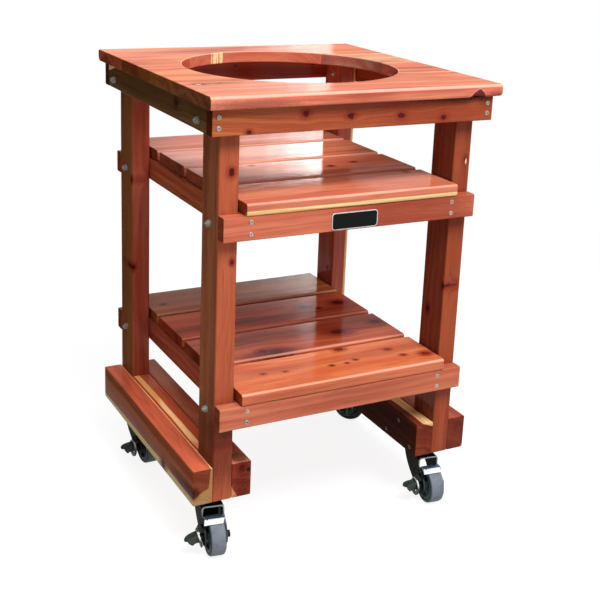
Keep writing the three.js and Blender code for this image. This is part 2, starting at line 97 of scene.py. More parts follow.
def swing(tree, value, amount):
    # A value about a half becomes one about nought, times an amount
    return times(tree, minus(tree, value, 0.5), amount)


def vectorCalc(tree, operation, *values):
    outputs = addNode(tree, "VectorMath", *values, operation=operation).outputs
    return outputs["Value" if operation in ("LENGTH", "DOT_PRODUCT") else "Vector"]


def ramp(tree, value, low, high, toLow=0.0, toHigh=1.0, kind="SMOOTHSTEP"):
    # Smooth or linear step of a value from one range to another
    return addNode(tree, "MapRange", value, low, high, toLow, toHigh, interpolation_type=kind).outputs[0]


def noise(tree, place, scale=1.0, detail=2.0, roughness=0.5, line=False):
    # Over a vector, or along a line over one value
    node = addNode(tree, "TexNoise", noise_dimensions="1D" if line else "3D")
    amounts = {"W" if line else "Vector": place, "Scale": scale, "Detail": detail, "Roughness": roughness}
    return fill(tree, node, amounts)["Fac"]


def boardNoise(tree, vector, stretch, detail=2.0, roughness=0.5):
    # How many to the metre along a board, and how many across it
    along, across = stretch
    squeezed = vectorCalc(tree, "MULTIPLY", vector, (along, across, across))
    return noise(tree, squeezed, 1.0, detail, roughness)


def mixColour(tree, factor, first, second, blend="MIX"):
    node = addNode(tree, "Mix", data_type="RGBA", blend_type=blend)
    put(tree, factor, node.inputs["Factor"])
    put(tree, first, node.inputs[6])
    put(tree, second, node.inputs[7])
    return node.outputs[2]


def mixShader(tree, factor, first, second):
    return addNode(tree, "MixShader", factor, first, second).outputs[0]


def bumped(tree, height, strength, depth):
    amounts = {"Height": height, "Strength": strength, "Distance": depth * mm}
    return fill(tree, addNode(tree, "Bump"), amounts)[0]


def newMaterial(name):
    material = bpy.data.materials.new(name)
    material.use_nodes = True
    return material, material.node_tree, material.node_tree.nodes["Principled BSDF"]


def newGroup(name, inputs, outputs):
    # A node group with named sockets: an input's value gives its kind, and None is a vector
    tree = bpy.data.node_groups.new(name, "ShaderNodeTree")
    kinds = {0: "Vector", 1: "Float", 3: "Vector", 4: "Color"}
    for label, value in inputs.items():
        count = 0 if value is None else len(value) if isinstance(value, tuple) else 1
        socket = tree.interface.new_socket(label, in_out="INPUT", socket_type="NodeSocket" + kinds[count])
        if count:
            socket.default_value = value
    for label, kind in outputs.items():
        tree.interface.new_socket(label, in_out="OUTPUT", socket_type="NodeSocket" + kind)
    return tree, tree.nodes.new("NodeGroupInput").outputs, tree.nodes.new("NodeGroupOutput").inputs


def useGroup(tree, group, **values):
    node = addNode(tree, "Group", node_tree=group)
    return fill(tree, node, {label.replace("_", " "): value for label, value in values.items()})


# Camera, lamps and floor

view = {
    "place": (-0.9916, -1.9430, 1.1805),
    "right": (0.88381, -0.46602, 0.04130),
    "up": (0.09167, 0.25905, 0.96150),
    "back": (-0.45878, -0.84600, 0.27167),
    "lens": 67.08,
    "shift": (-0.01935, -0.13536),
}

lamps = {    # place, height on the table's middle line that it faces, size, watts
    "key": ((0.35, -2.9, 4.3), 0.45, (1.9, 1.9), 205.0),
    "fill": ((-1.1, -2.1, 3.6), 0.45, (1.6, 1.6), 36.0),
    "windowNarrow": ((1.70, 3.10, 1.36), 0.80, (0.22, 0.34), 0.6),
    "windowMiddle": ((1.65, 3.12, 1.33), 0.80, (0.32, 0.34), 0.6),
    "windowWide": ((1.59, 3.14, 1.32), 0.80, (0.44, 0.34), 0.55),
    "windowTall": ((1.74, 3.08, 1.53), 0.80, (0.10, 0.48), 0.5),
    "rearSheen": ((1.21, 3.30, 1.30), 0.80, (1.10, 0.50), 2.0),
}

flags = {    # dark boards that the varnish mirrors, unseen by the camera: two corners, low, high
    "left": ((-0.40, -1.2), (-0.40, 2.6), 0.0, 1.3),
    "rear": ((0.475, 0.70), (1.10, 0.70), 0.78, 0.922),
}
flagColour = (0.06, 0.035, 0.02)

sky = {
    "levels": (0.02, 0.52),    # light from low on the left, where the sides stay dark, and from the right
    "span": (-0.7, 0.5),       # directions over which the level rises, left to right
    "lift": 0.65,              # how much the height of a direction counts as towards the right
    "colour": (1.0, 0.99, 0.98),
}

stage = {
    "floorColour": (0.58, 0.57, 0.56),
    "floorSize": 40.0,
    "shadowDepth": 0.24,
    "glowLoss": 0.55,             # how much of the shadow's depth the floor's own glow gives up
    "shadowReach": (0.9, 2.2),    # metres from the middle over which the floor turns plain white
}


def addObject(name, data, matrix=None):
    holder = bpy.data.objects.new(name, data)
    if matrix is not None:
        holder.matrix_world = matrix
    bpy.context.scene.collection.objects.link(holder)
    return holder


def addCamera():
    camera = bpy.data.cameras.new("camera")
    camera.lens = view["lens"]
    camera.sensor_width = 36.0
    camera.sensor_fit = "AUTO"
    camera.shift_x, camera.shift_y = view["shift"]
    camera.clip_end = 100.0
    turn = Matrix((view["right"], view["up"], view["back"])).transposed().to_4x4()
    bpy.context.scene.camera = addObject("camera", camera, Matrix.Translation(view["place"]) @ turn)


def addLamp(name, place, faced, size, watts):
    lamp = bpy.data.lights.new(name, "AREA")
    lamp.shape = "RECTANGLE"
    lamp.size, lamp.size_y = size
    lamp.energy = watts
    turn = (Vector((0, 0, faced)) - Vector(place)).to_track_quat("-Z", "Y").to_matrix().to_4x4()
    addObject(name, lamp, Matrix.Translation(place) @ turn)


def seenDirectly(tree):
    # One for camera, glossy and transmission rays, nought for the rays that light the object
    path = addNode(tree, "LightPath").outputs
    glossy = calc(tree, "MAXIMUM", path["Is Camera Ray"], path["Is Glossy Ray"])
    return calc(tree, "MAXIMUM", glossy, path["Is Transmission Ray"])


def addWorld():
    # Soft light that falls off to the left; the eye and gloss see a white backdrop
    world = bpy.data.worlds.new("studio")
    bpy.context.scene.world = world
    world.use_nodes = True
    tree = world.node_tree
    way = addNode(tree, "SeparateXYZ", addNode(tree, "TexCoord").outputs["Generated"]).outputs
    reach = calc(tree, "MULTIPLY_ADD", way[2], sky["lift"], way[0])
    level = ramp(tree, reach, *sky["span"], *sky["levels"], kind="LINEAR")
    light = fill(tree, tree.nodes["Background"], {"Color": (*sky["colour"], 1.0), "Strength": level})
    white = addNode(tree, "Background", (1, 1, 1, 1)).outputs
    seen = mixShader(tree, seenDirectly(tree), light[0], white[0])
    put(tree, seen, tree.nodes["World Output"].inputs["Surface"])


def flatSheet(name, corners, material):
    mesh = bpy.data.meshes.new(name)
    mesh.from_pydata(corners, [], [(0, 1, 2, 3)])
    mesh.materials.append(material)
    return addObject(name, mesh)


def addFloor():
    # A flat square that looks white to the eye and in gloss, and keeps the object's shadow near it
    material, tree, _ = newMaterial("floor_paper")
    tree.nodes.clear()
    depth = stage["shadowDepth"]
    paper = addNode(tree, "BsdfDiffuse", (*stage["floorColour"], 1)).outputs[0]
    faded = addNode(tree, "BsdfDiffuse", (depth, depth, depth, 1)).outputs[0]
    glow = addNode(tree, "Emission", None, 1.0 - stage["glowLoss"] * depth).outputs[0]
    near = addNode(tree, "AddShader", faded, glow).outputs[0]
    far = addNode(tree, "Emission").outputs[0]
    distance = vectorCalc(tree, "LENGTH", addNode(tree, "TexCoord").outputs["Object"])
    seen = mixShader(tree, ramp(tree, distance, *stage["shadowReach"]), near, far)
    addNode(tree, "OutputMaterial", mixShader(tree, seenDirectly(tree), paper, seen))
    half = stage["floorSize"] / 2
    corners = [(-half, -half, 0), (half, -half, 0), (half, half, 0), (-half, half, 0)]
    flatSheet("floor", corners, material)


def addFlag(name, start, end, low, high):
    material, tree, cloth = newMaterial("flag_cloth_" + name)
    fill(tree, cloth, {"Base Color": (*flagColour, 1), "Specular IOR Level": 0.0})
    board = flatSheet("flag_" + name, [(*start, low), (*end, low), (*end, high), (*start, high)], material)
    board.visible_camera = False
    board.visible_shadow = False
    board.visible_diffuse = False


addCamera()
addWorld()
for lampName, lampValues in lamps.items():
    addLamp(lampName, *lampValues)
addFloor()
for flagName, flagPlace in flags.items():
    addFlag(flagName, *flagPlace)
bpy.context.scene.view_settings.view_transform = "Standard"
print("camera, lamps and floor placed")


# Shared effects: grain, knot, sapwood, wear

figure = {    # of the noises, how many to the metre along a board and across it
    "apart": (1.0, 1.7, 0.6),    # where a seed takes the noises, in metres
    "push": ((2.2, 9.0), 4.0),    # slow bends of the rings, times the wander
    "jitter": ((9.0, 55.0), 0.55),    # quick ones
    "ringNoise": (45.0, 5.0),    # how unevenly the rings lie, to the metre of radius, and by how many
    "lateWood": (2.5, 0.9),    # power by which a ring darkens outwards, and where it ends
    "bandNoise": (62.0, 3.1),    # bands of pale wood to the metre of radius, and their own share of the seed
    "drift": (3.5, 26.0),
    "bandShares": (0.6, 0.4),    # of bands and drift
    "bandRange": (0.41, 0.60),
    "cloud": (2.4, 16.0),
    "cloudRange": (0.46, 0.74),
    "dashes": (7.0, 170.0),
    "dashRange": (0.58, 0.78, 0.0, 0.50),
    "fibre": (16.0, 620.0),
    "fibreRange": (0.25, 0.75, 0.86, 1.10),
}


def makeGrain():
    # Growth rings are circles about a heart line that runs along the board, pushed about by slow
    # noise, so a flat face cuts them into long lines and a board's end into arcs.
    tree, give, take = newGroup("cedarGrain", {
        "Vector": None, "Heart": (0, 0.03, -0.09), "Ring Gap": 0.0042, "Wander": 0.010, "Seed": 0.0,
        "Pale": (1, 1, 1, 1), "Middle": (1, 1, 1, 1), "Deep": (1, 1, 1, 1),
        "Ring Depth": 0.5, "Cloud": 0.4, "Bands": 0.8,
    }, {"Colour": "Color", "Ring": "Float", "Fibre": "Float"})
    seed, deep = give["Seed"], give["Deep"]
    apart = addNode(tree, "CombineXYZ", *[times(tree, seed, factor) for factor in figure["apart"]])
    placed = vectorCalc(tree, "ADD", give["Vector"], apart.outputs[0])
    offset = vectorCalc(tree, "SUBTRACT", give["Vector"], give["Heart"])
    radius = vectorCalc(tree, "LENGTH", vectorCalc(tree, "MULTIPLY", offset, (0, 1, 1)))
    for layer, detail in (("push", 1.0), ("jitter", 2.0)):
        stretch, amount = figure[layer]
        bend = swing(tree, boardNoise(tree, placed, stretch, detail), times(tree, give["Wander"], amount))
        radius = plus(tree, radius, bend)
    ringScale, ringShift = figure["ringNoise"]
    uneven = swing(tree, noise(tree, plus(tree, radius, seed), ringScale, 1.0, line=True), ringShift)
    part = calc(tree, "FRACT", plus(tree, calc(tree, "DIVIDE", radius, give["Ring Gap"]), uneven))
    power, ringEnd = figure["lateWood"]
    late = times(tree, calc(tree, "POWER", part, power), ramp(tree, part, 1.0, ringEnd))
    bandScale, seedShare = figure["bandNoise"]
    band = noise(tree, plus(tree, radius, times(tree, seed, seedShare)), bandScale, line=True)
    layers = zip((band, boardNoise(tree, placed, figure["drift"])), figure["bandShares"])
    bands = plus(tree, *[times(tree, layer, share) for layer, share in layers])
    paleness = ramp(tree, bands, *figure["bandRange"])
    paleness = plus(tree, swing(tree, paleness, give["Bands"]), 0.5)
    colour = mixColour(tree, paleness, give["Middle"], give["Pale"])
    cloud = ramp(tree, boardNoise(tree, placed, figure["cloud"], 3.0), *figure["cloudRange"])
    colour = mixColour(tree, times(tree, cloud, give["Cloud"]), colour, deep)
    dashes = ramp(tree, boardNoise(tree, placed, figure["dashes"], 2.0, 0.6), *figure["dashRange"])
    dark = calc(tree, "ADD", times(tree, late, give["Ring Depth"]), dashes, clamp=True)
    colour = mixColour(tree, dark, colour, deep)
    fibre = boardNoise(tree, placed, figure["fibre"], 3.0, 0.6)
    lift = ramp(tree, fibre, *figure["fibreRange"])
    shade = addNode(tree, "CombineColor", lift, lift, lift).outputs[0]
    put(tree, mixColour(tree, 1.0, colour, shade, "MULTIPLY"), take["Colour"])
    put(tree, late, take["Ring"])
    put(tree, fibre, take["Fibre"])
    return tree


knotShape = {
    "wobble": (190.0, 1.1),    # noise to the metre that makes the outline uneven, and by how much
    "core": (1.1, 0.6),        # from and to of each fade, of the knot's size
    "halo": (2.6, 0.9),
    "pull": (0.8, 0.16),       # how far the grain bends round it, and how soon that fades
    "along": 0.75,             # knots are a little longer along the grain
    "through": 0.12,           # and run on through the wood
}


def makeKnot():
    # Grain lines near the knot are read from nearer its middle line, so they swell round it.
    # The core is a wobbly oval with rings of its own, the halo the darker wood about it.
    tree, give, take = newGroup("knot", {
        "Vector": None, "Source": None, "Centre": (0, 0, 0), "Weights": (0.7, 1.0, 0.1),
        "Size": 0.006, "Core": 0.0, "Halo": 0.0,
    }, {"Vector": "Vector", "Core": "Float", "Halo": "Float"})
    away = vectorCalc(tree, "SUBTRACT", give["Source"], give["Centre"])
    scaled = vectorCalc(tree, "MULTIPLY", away, give["Weights"])
    span = calc(tree, "DIVIDE", vectorCalc(tree, "LENGTH", scaled), give["Size"])
    scale, amount = knotShape["wobble"]
    uneven = plus(tree, span, swing(tree, noise(tree, give["Source"], scale), amount))
    core = ramp(tree, uneven, *knotShape["core"])
    halo = ramp(tree, uneven, *knotShape["halo"])
    strength, fading = knotShape["pull"]
    pull = times(tree, calc(tree, "EXPONENT", times(tree, times(tree, span, span), -fading)), strength)
    spread = addNode(tree, "CombineXYZ", 0.0, pull, pull).outputs[0]
    bent = vectorCalc(tree, "SUBTRACT", give["Vector"], vectorCalc(tree, "MULTIPLY", away, spread))
    put(tree, bent, take["Vector"])
    put(tree, calc(tree, "MAXIMUM", core, give["Core"]), take["Core"])
    put(tree, calc(tree, "MAXIMUM", halo, give["Halo"]), take["Halo"])
    return tree


def makeSapwood():
    # Pale wood between two planes, a width apart, whose edges wander with the grain and fade
    # over about a millimetre
    tree, give, take = newGroup("sapwood", {
        "Vector": None, "Direction": (0, 0, 1), "Offset": 0.0, "Wander": 0.004, "Width": 1.0, "Mask": 0.0,
    }, {"Mask": "Float"})
    along = vectorCalc(tree, "DOT_PRODUCT", give["Vector"], give["Direction"])
    drift = boardNoise(tree, give["Vector"], (6.0, 30.0))
    wander = swing(tree, drift, times(tree, give["Wander"], 2.0))
    edge = plus(tree, minus(tree, along, give["Offset"]), wander)
    beyond = minus(tree, edge, give["Width"])
    soft = 0.6 * mm
    mask = times(tree, ramp(tree, edge, -soft, soft), ramp(tree, beyond, soft, -soft))
    put(tree, calc(tree, "MAXIMUM", mask, give["Mask"]), take["Mask"])
    return tree


smudge = {
    "quick": 14.0,    # how much finer the quick noise is than the slow
    "shares": (0.7, 0.3),    # of slow and quick noise
    "roughness": (0.35, 0.65),
    "mask": (0.48, 0.68),
}


def makeWear():
    # Smudges and fine dust: slow noise with quick noise
    inputs = {"Vector": None, "Scale": 14.0, "Low": 0.2, "High": 0.4}
    tree, give, take = newGroup("handling", inputs, {"Roughness": "Float", "Mask": "Float"})
    slow = noise(tree, give["Vector"], give["Scale"], 3.0, 0.6)
    quick = noise(tree, give["Vector"], times(tree, give["Scale"], smudge["quick"]))
    both = plus(tree, *[times(tree, layer, share) for layer, share in zip((slow, quick), smudge["shares"])])
    put(tree, ramp(tree, both, *smudge["roughness"], give["Low"], give["High"]), take["Roughness"])
    put(tree, ramp(tree, both, *smudge["mask"]), take["Mask"])
    return tree


grainGroup = makeGrain()
knotGroup = makeKnot()
sapwoodGroup = makeSapwood()
wearGroup = makeWear()
print("shader groups made")


# Surfaces

def skin(rings, shut=True):
    # Rings of equal count joined in order: each end shuts with a fan to its middle, or the last
    # ring meets the first
    count, width = rings.shape[:2]
    points = rings.reshape(-1, 3)
    rows = np.arange(count - 1 if shut else count)[:, None]
    across = np.arange(width)
    beside = (across + 1) % width
    low, high = rows * width, (rows + 1) % count * width
    faces = np.stack([low + across, low + beside, high + beside, high + across], 2).reshape(-1, 4).tolist()
    if shut:
        first, top = len(points), (count - 1) * width
        points = np.vstack([points, rings[0].mean(0), rings[-1].mean(0)])
        faces += np.stack([np.full(width, first), beside, across], 1).tolist()
        faces += np.stack([np.full(width, first + 1), top + across, top + beside], 1).tolist()
    return points, faces


def closedEnds(rings):
    # A smaller ring inside each end ring, so that the flat end shades flat
    caps = [rings[i].mean(0) + (rings[i] - rings[i].mean(0)) * 0.9 for i in (0, -1)]
    return np.concatenate([caps[0][None], rings, caps[1][None]])


def facesOutward(points, faces):
    # Six times the signed volume: its sign says which way the faces point
    triangles = [(f[0], f[i], f[i + 1]) for f in faces for i in range(1, len(f) - 1)]
    a, b, c = (points[[t[i] for t in triangles]] for i in range(3))
    return np.einsum("ij,ij->i", a, np.cross(b, c)).sum() > 0


def areaNormals(points, faces):
    # Each vertex normal is the sum of its faces' normals, weighted by their areas: the cross
    # product of a triangle's two sides, or of a quad's diagonals
    normals = np.zeros_like(points)
    for size in (3, 4):
        chosen = np.array([f for f in faces if len(f) == size], int).reshape(-1, size)
        corners = points[chosen]
        weight = np.cross(corners[:, size - 2] - corners[:, 0], corners[:, -1] - corners[:, size - 3])
        for corner in range(size):
            np.add.at(normals, chosen[:, corner], weight)
    length = np.linalg.norm(normals, axis=1, keepdims=True)
    return normals / np.maximum(length, 1e-20)


def newPiece(name, shells, material, body, nodes=()):
    # One object from closed shells of points and faces, smooth, riding on a body
    points, faces, edge = [], [], []
    for shellPoints, shellFaces, *shares in shells:
        if not facesOutward(shellPoints, shellFaces):
            shellFaces = [f[::-1] for f in shellFaces]
        start = sum(len(p) for p in points)
        points.append(shellPoints)
        faces += [[i + start for i in f] for f in shellFaces]
        edge.append(shares[0] if shares else np.zeros(len(shellPoints)))
    points = np.vstack(points)
    mesh = bpy.data.meshes.new(name)
    mesh.from_pydata(points.tolist(), [], faces)
    mesh.polygons.foreach_set("use_smooth", [True] * len(mesh.polygons))
    mesh.normals_split_custom_set_from_vertices(areaNormals(points, faces).tolist())
    if any(len(shell) > 2 for shell in shells):
        mesh.attributes.new("edge", "FLOAT", "POINT").data.foreach_set("value", np.concatenate(edge))
    mesh.materials.append(material)
    piece = addObject(name, mesh)
    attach(piece, body)
    if nodes:
        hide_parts(*nodes)


def roundedProfile(halfWidth, halfHeight, rounds, steps=5, sides=3):
    # Corner arcs joined by straight sides, from low left, counterclockwise, as (n, 2)
    arcs = []
    for index, (sideX, sideY) in enumerate(((-1, -1), (1, -1), (1, 1), (-1, 1))):
        radius = rounds[index]
        angles = math.pi * (1 + index / 2) + np.linspace(0, math.pi / 2, steps + 1)
        centre = np.array([sideX * (halfWidth - radius), sideY * (halfHeight - radius)])
        arcs.append(centre + radius * np.stack([np.cos(angles), np.sin(angles)], 1))
    closed = []
    shares = np.linspace(0, 1, sides + 2)[1:-1, None]
    for arc, following in zip(arcs, arcs[1:] + arcs[:1]):
        closed += [arc, arc[-1] * (1 - shares) + following[0] * shares]
    return np.vstack(closed)


def crossWays(axis):
    # Two directions at right angles to an axis
    first = np.cross(axis, (0, 0, 1) if abs(axis[2]) < 0.9 else (1, 0, 0))
    first /= np.linalg.norm(first)
    return first, np.cross(axis, first)


def turned(radii, heights, centre, axis, sides):
    # Rings about an axis: radii by ring, or by ring and angle, and a height for each ring
    axis = np.array(axis, float) / np.linalg.norm(axis)
    first, second = crossWays(axis)
    angles = np.linspace(0, 2 * math.pi, sides, endpoint=False)
    around = np.cos(angles)[:, None] * first + np.sin(angles)[:, None] * second
    return np.array(centre) + radii[..., None] * around[None] + np.array(heights)[:, None, None] * axis


def lathed(profile, centre, axis, sides=32, shut=True):
    # Points of radius and height turned about an axis; a loop of points is left open at its ends
    profile = np.array(profile)
    return skin(turned(profile[:, :1], profile[:, 1], centre, axis, sides), shut)


def hexagon(across, low, high, centre, axis, chamfer=0.12, sides=48):
    # The distance to a hexagon's flat grows as one over the cosine, held under a cone at each end
    angles = np.linspace(0, 2 * math.pi, sides, endpoint=False)
    flat = across / 2 / np.cos((angles + math.pi / 6) % (math.pi / 3) - math.pi / 6)
    slope = chamfer * across * 0.6
    limits = np.array([0.42, 0.50, 0.60, 0.60, 0.50, 0.42]) * across
    radii = np.minimum(flat[None, :], limits[:, None])
    return skin(turned(radii, [low, low, low + slope, high - slope, high, high], centre, axis, sides))


def curve(start, pull, end, count=16):
    # A quadratic curve: (1 - t)^2 start + 2 t (1 - t) pull + t^2 end
    t = np.linspace(0, 1, count)[:, None]
    return (1 - t) ** 2 * np.array(start) + 2 * t * (1 - t) * np.array(pull) + t ** 2 * np.array(end)


def dome(radius, rise, count):
    # A quarter ellipse of radius and height, from its foot to just short of its top
    return [(radius * math.cos(t), rise * math.sin(t)) for t in np.linspace(0, math.pi / 2, count)[:-1]]


def ridged(radius, depth, low, high, count):
    # A screw thread as alternate crests and roots
    return [(radius - (depth if i % 2 else 0), h) for i, h in enumerate(np.linspace(low, high, count))]


# Cedar

cedarTones = {    # pale, middle and deep wood
    "salmon": ("f29c74", "dc785a", "8e2c1c"),
    "coral": ("dc8864", "c46448", "7c2a1c"),
    "rust": ("c26a46", "a64c30", "5a1e12"),
    "russet": ("b45c3c", "964027", "521a10"),
    "amber": ("c27040", "983e28", "521a10"),
    "honey": ("ee9058", "d86a40", "8a2c18"),
    "garnet": ("cc6c50", "b04c38", "541610"),
    "wine": ("b85e44", "983e2c", "4c1410"),
    # the next tone is darker to paint shade under the table
    "underShadeMahogany": ("984a34", "722e1e", "3a120c"),
    "brown": ("b87246", "985432", "4c2414"),
    # the next tone is darker to paint shade on a left-facing board
    "leftShadeUmber": ("86603a", "64442a", "342012"),
}

varnishAndPaintedHighlights = {
    "coatRoughness": 0.085,
    "gloss": (0.36, 0.50),    # roughness of the wood under the coat
    "smudges": 11.0,    # to the metre
    "reflection": 0.0,
    "relief": (0.6, -0.6),    # how far fibre and rings stand out
    "grain": (0.22, 0.5),    # strength and depth of that relief, and of the ripples in the coat
    "ripple": (0.10, 4.0),
    "rippleNoise": ((16.0, 32.0), 6.0, 0.68),    # to the metre along and across, detail, roughness
    "sapwood": ("efc98c", "d89a58"),    # pale wood, and its rings
    "haloShare": 0.72,
    "wallShare": 0.55,    # how far the cut-out's wall takes its own colour
    "rim": ("f6c6ac", 0.5),    # painted highlight along the cut-out's upper edge: its colour and share
    "arrisHighlight": "fcc4b0",    # painted highlight along a board's front upper edge
    "ends": ("a08a7c", 0.85, 0.15),    # shade of end grain, its share, and how much rougher it is
    "wallFade": (2.0, 0.6),    # from and to of each fade: outside the cut-out's radius
    "rimHighlightFade": (2.2, 1.4),
    "rimHighlightTopFade": (2.0, 1.2),    # below the upper face, for the rim's painted highlight
    "arrisHighlightFade": (1.9, 0.5),     # short of the rounded edge, for its painted highlight
    "faceFade": (0.9, 0.3),      # under a face
}

# The wane: dark bark colour that is partly painted shade in its hollow, and a painted highlight along its lip
waneBarkShadeAndHighlight = {
    "power": 1.5,                # of the arch's fall from its middle
    "uneven": 2.5,
    "endFade": (1.0, 0.92),      # of the arch's length
    "frontFade": (-270, -285),    # y
    "barkShadeFade": (0.5, -0.7),     # height over the arch
    "dark": ("5c2a1e", "8a4230"),
    "lip": (1.2, 1.3, 0.5),      # middle of the painted highlight along the lip over the arch, and the fade away from it
    "lipHighlightTone": ("f0a890", 0.6),
}

plainCedar = {    # what a timber has unless its kind or the timber itself says otherwise
    "tint": (1, 1, 1),
    "heart": (25, -80),    # where the tree's middle lay, across the board
    "gap": 6.0,            # between growth rings
    "wander": 9,
    "rings": 0.20,
    "cloud": 0.42,
    "halo": "84281a",
    "knotTones": ("5a1a16", "32100c"),
    "wall": "b4564a",
    "cut": None,           # radius of a cut-out about the table's middle
    "wane": None,          # middle, left, right and height of an edge that still has its bark, darkened as bark and painted shade, with a painted highlight on its lip
    "knots": (),           # x, y, z, size, axis through the wood
    "sap": (),             # direction, offset, wander and width of pale wood beyond a plane
    "lines": (),           # direction, offset, wander, width, colour, share
    "patches": (),         # x, y, z, size, axis, colour, softness or nought, length along the grain
    "faces": {},           # painted light and shade: tints that lighten or darken single faces
}

kinds = {    # by surface: edge radius, shine, how far pale and darker wood alternate, painted highlight along the front edge
    "top": {
        "round": 6.5, "coat": 0.15, "bands": 0.9, "arrisHighlight": 0.0, "tones": "salmon", "rings": 0.26,
        "cloud": 0.6},
    "mid": {"round": 5.0, "coat": 0.42, "bands": 0.75, "arrisHighlight": 0.45},
    "low": {"round": 5.0, "coat": 0.30, "bands": 0.8, "arrisHighlight": 0.45},
    "frame": {"round": 2.5, "coat": 0.18, "bands": 0.6, "arrisHighlight": 0.0},
    "post": {"round": 3.0, "coat": 0.18, "bands": 0.4, "arrisHighlight": 0.0},
}

turns = {    # from the table's axes to a timber's own, whose first runs along it
    "x": np.eye(3),
    "y": np.array([[0, 1, 0], [-1, 0, 0], [0, 0, 1.0]]),
    "z": np.array([[0, 0, 1], [0, 1, 0], [-1, 0, 0.0]]),
}
mappingTurns = {"x": (0, 0, 0), "y": (0, 0, -math.pi / 2), "z": (0, math.pi / 2, 0)}
faceSides = {"left": (0, -1.0), "right": (0, 1.0), "front": (1, -1.0), "rear": (1, 1.0), "top": (2, 1.0)}


def spotPlace(timber, spot, through, along):
    # A spot in the timber's own axes, drawn out through the wood and along its grain
    turn = turns[timber["axis"]]
    spread = np.ones(3)
    spread["xyz".index(timber["axis"])] *= along
    spread["xyz".index(through)] *= knotShape["through"]
    centre = turn @ (np.array(spot) * mm - timber["centre"])
    return {"Centre": tuple(centre), "Weights": tuple(np.abs(turn @ spread))}


def planePlace(timber, direction, offset):
    # A plane in the timber's own axes
    way = np.array(direction, float) / np.linalg.norm(direction)
    shift = offset * mm - float(way @ timber["centre"])
    return {"Direction": tuple(turns[timber["axis"]] @ way), "Offset": shift}


def fromMiddle(tree, spot):
    # Distance from the table's upright middle line
    return vectorCalc(tree, "LENGTH", vectorCalc(tree, "MULTIPLY", spot, (1.0, 1.0, 0.0)))


def outermost(tree, distance, half):
    # One on the skin of a face, from how far a point lies from the timber's middle
    return ramp(tree, distance, *[half - v * mm for v in varnishAndPaintedHighlights["faceFade"]])


def barkShadeAndHighlight(tree, colour, place, wane, fibre, floor):
    # Dark bark colour, partly painted shade in the hollow, under an arch along the front's lower edge that is
    # one less a power of the distance, and a painted highlight along its lip
    middle, left, right, height = (v * mm for v in wane)
    away = minus(tree, place[0], middle)
    share = calc(tree, "MAXIMUM", calc(tree, "DIVIDE", away, right), calc(tree, "DIVIDE", away, -left))
    arch = times(tree, minus(tree, 1.0, calc(tree, "POWER", share, waneBarkShadeAndHighlight["power"])), height)
    rise = minus(tree, minus(tree, place[2], floor), arch)
    rise = plus(tree, rise, swing(tree, fibre, waneBarkShadeAndHighlight["uneven"] * mm))
    front = ramp(tree, place[1], *[v * mm for v in waneBarkShadeAndHighlight["frontFade"]])
    within = times(tree, ramp(tree, share, *waneBarkShadeAndHighlight["endFade"]), front)
    lipHeight, lipStart, lipFull = (v * mm for v in waneBarkShadeAndHighlight["lip"])
    offLip = calc(tree, "ABSOLUTE", minus(tree, rise, lipHeight))
    lip = times(tree, ramp(tree, offLip, lipStart, lipFull), within)
    # Painted highlight along the lip
    shade, amount = waneBarkShadeAndHighlight["lipHighlightTone"]
    colour = mixColour(tree, times(tree, lip, amount), colour, tone(shade))
    # Bark colour, darkened further as painted shade in the hollow
    dark = mixColour(tree, fibre, *[tone(c) for c in waneBarkShadeAndHighlight["dark"]])
    mask = times(tree, ramp(tree, rise, *[v * mm for v in waneBarkShadeAndHighlight["barkShadeFade"]]), within)
    return mixColour(tree, mask, colour, dark)


def growWood(tree, timber, values, board):
    # Growth rings that bend round each knot in turn, with the masks of all knots
    bent = {"Vector": board, "Core": 0.0, "Halo": 0.0}
    for x, y, z, width, through in values["knots"]:
        place = spotPlace(timber, (x, y, z), through, knotShape["along"])
        out = useGroup(tree, knotGroup, Source=board, Size=width * mm, **bent, **place)
        bent = {label: out[label] for label in bent}
    tones = [tuple(np.array(tone(c)) * (*values["tint"], 1)) for c in cedarTones[values["tones"]]]
    grain = useGroup(
        tree, grainGroup, Vector=bent["Vector"], Seed=values["seed"],
        Heart=(0, *[h * mm for h in values["heart"]]), Ring_Gap=values["gap"] * mm,
        Wander=values["wander"] * mm, Ring_Depth=values["rings"],
        Cloud=values["cloud"], Bands=values["bands"], Pale=tones[0], Middle=tones[1], Deep=tones[2],
    )
    return grain, bent


def addStripes(tree, timber, values, colour, grain, bent, spot):
    # Sapwood, kept off the cut-out's wall, which has a colour of its own, and thin lines
    sap = 0.0
    for direction, offset, wander, *width in values["sap"]:
        band = {"Wander": wander * mm, "Width": (width or [1000])[0] * mm}
        band.update(planePlace(timber, direction, offset))
        sap = useGroup(tree, sapwoodGroup, Vector=bent["Vector"], Mask=sap, **band)["Mask"]
    if values["cut"]:
        wall = ramp(tree, fromMiddle(tree, spot), *[(values["cut"] + v) * mm for v in varnishAndPaintedHighlights["wallFade"]])
        sap = times(tree, sap, minus(tree, 1.0, wall))
    if values["sap"]:
        sapTone = mixColour(tree, grain["Ring"], *[tone(c) for c in varnishAndPaintedHighlights["sapwood"]])
        colour = mixColour(tree, sap, colour, sapTone)
    if values["cut"]:
        colour = mixColour(tree, times(tree, wall, varnishAndPaintedHighlights["wallShare"]), colour, tone(values["wall"]))
    for direction, offset, wander, width, shade, share in values["lines"]:
        band = {"Wander": wander * mm, "Width": width * mm, **planePlace(timber, direction, offset)}
        thin = useGroup(tree, sapwoodGroup, Vector=bent["Vector"], **band)
        colour = mixColour(tree, times(tree, thin["Mask"], share), colour, tone(shade))
    return colour


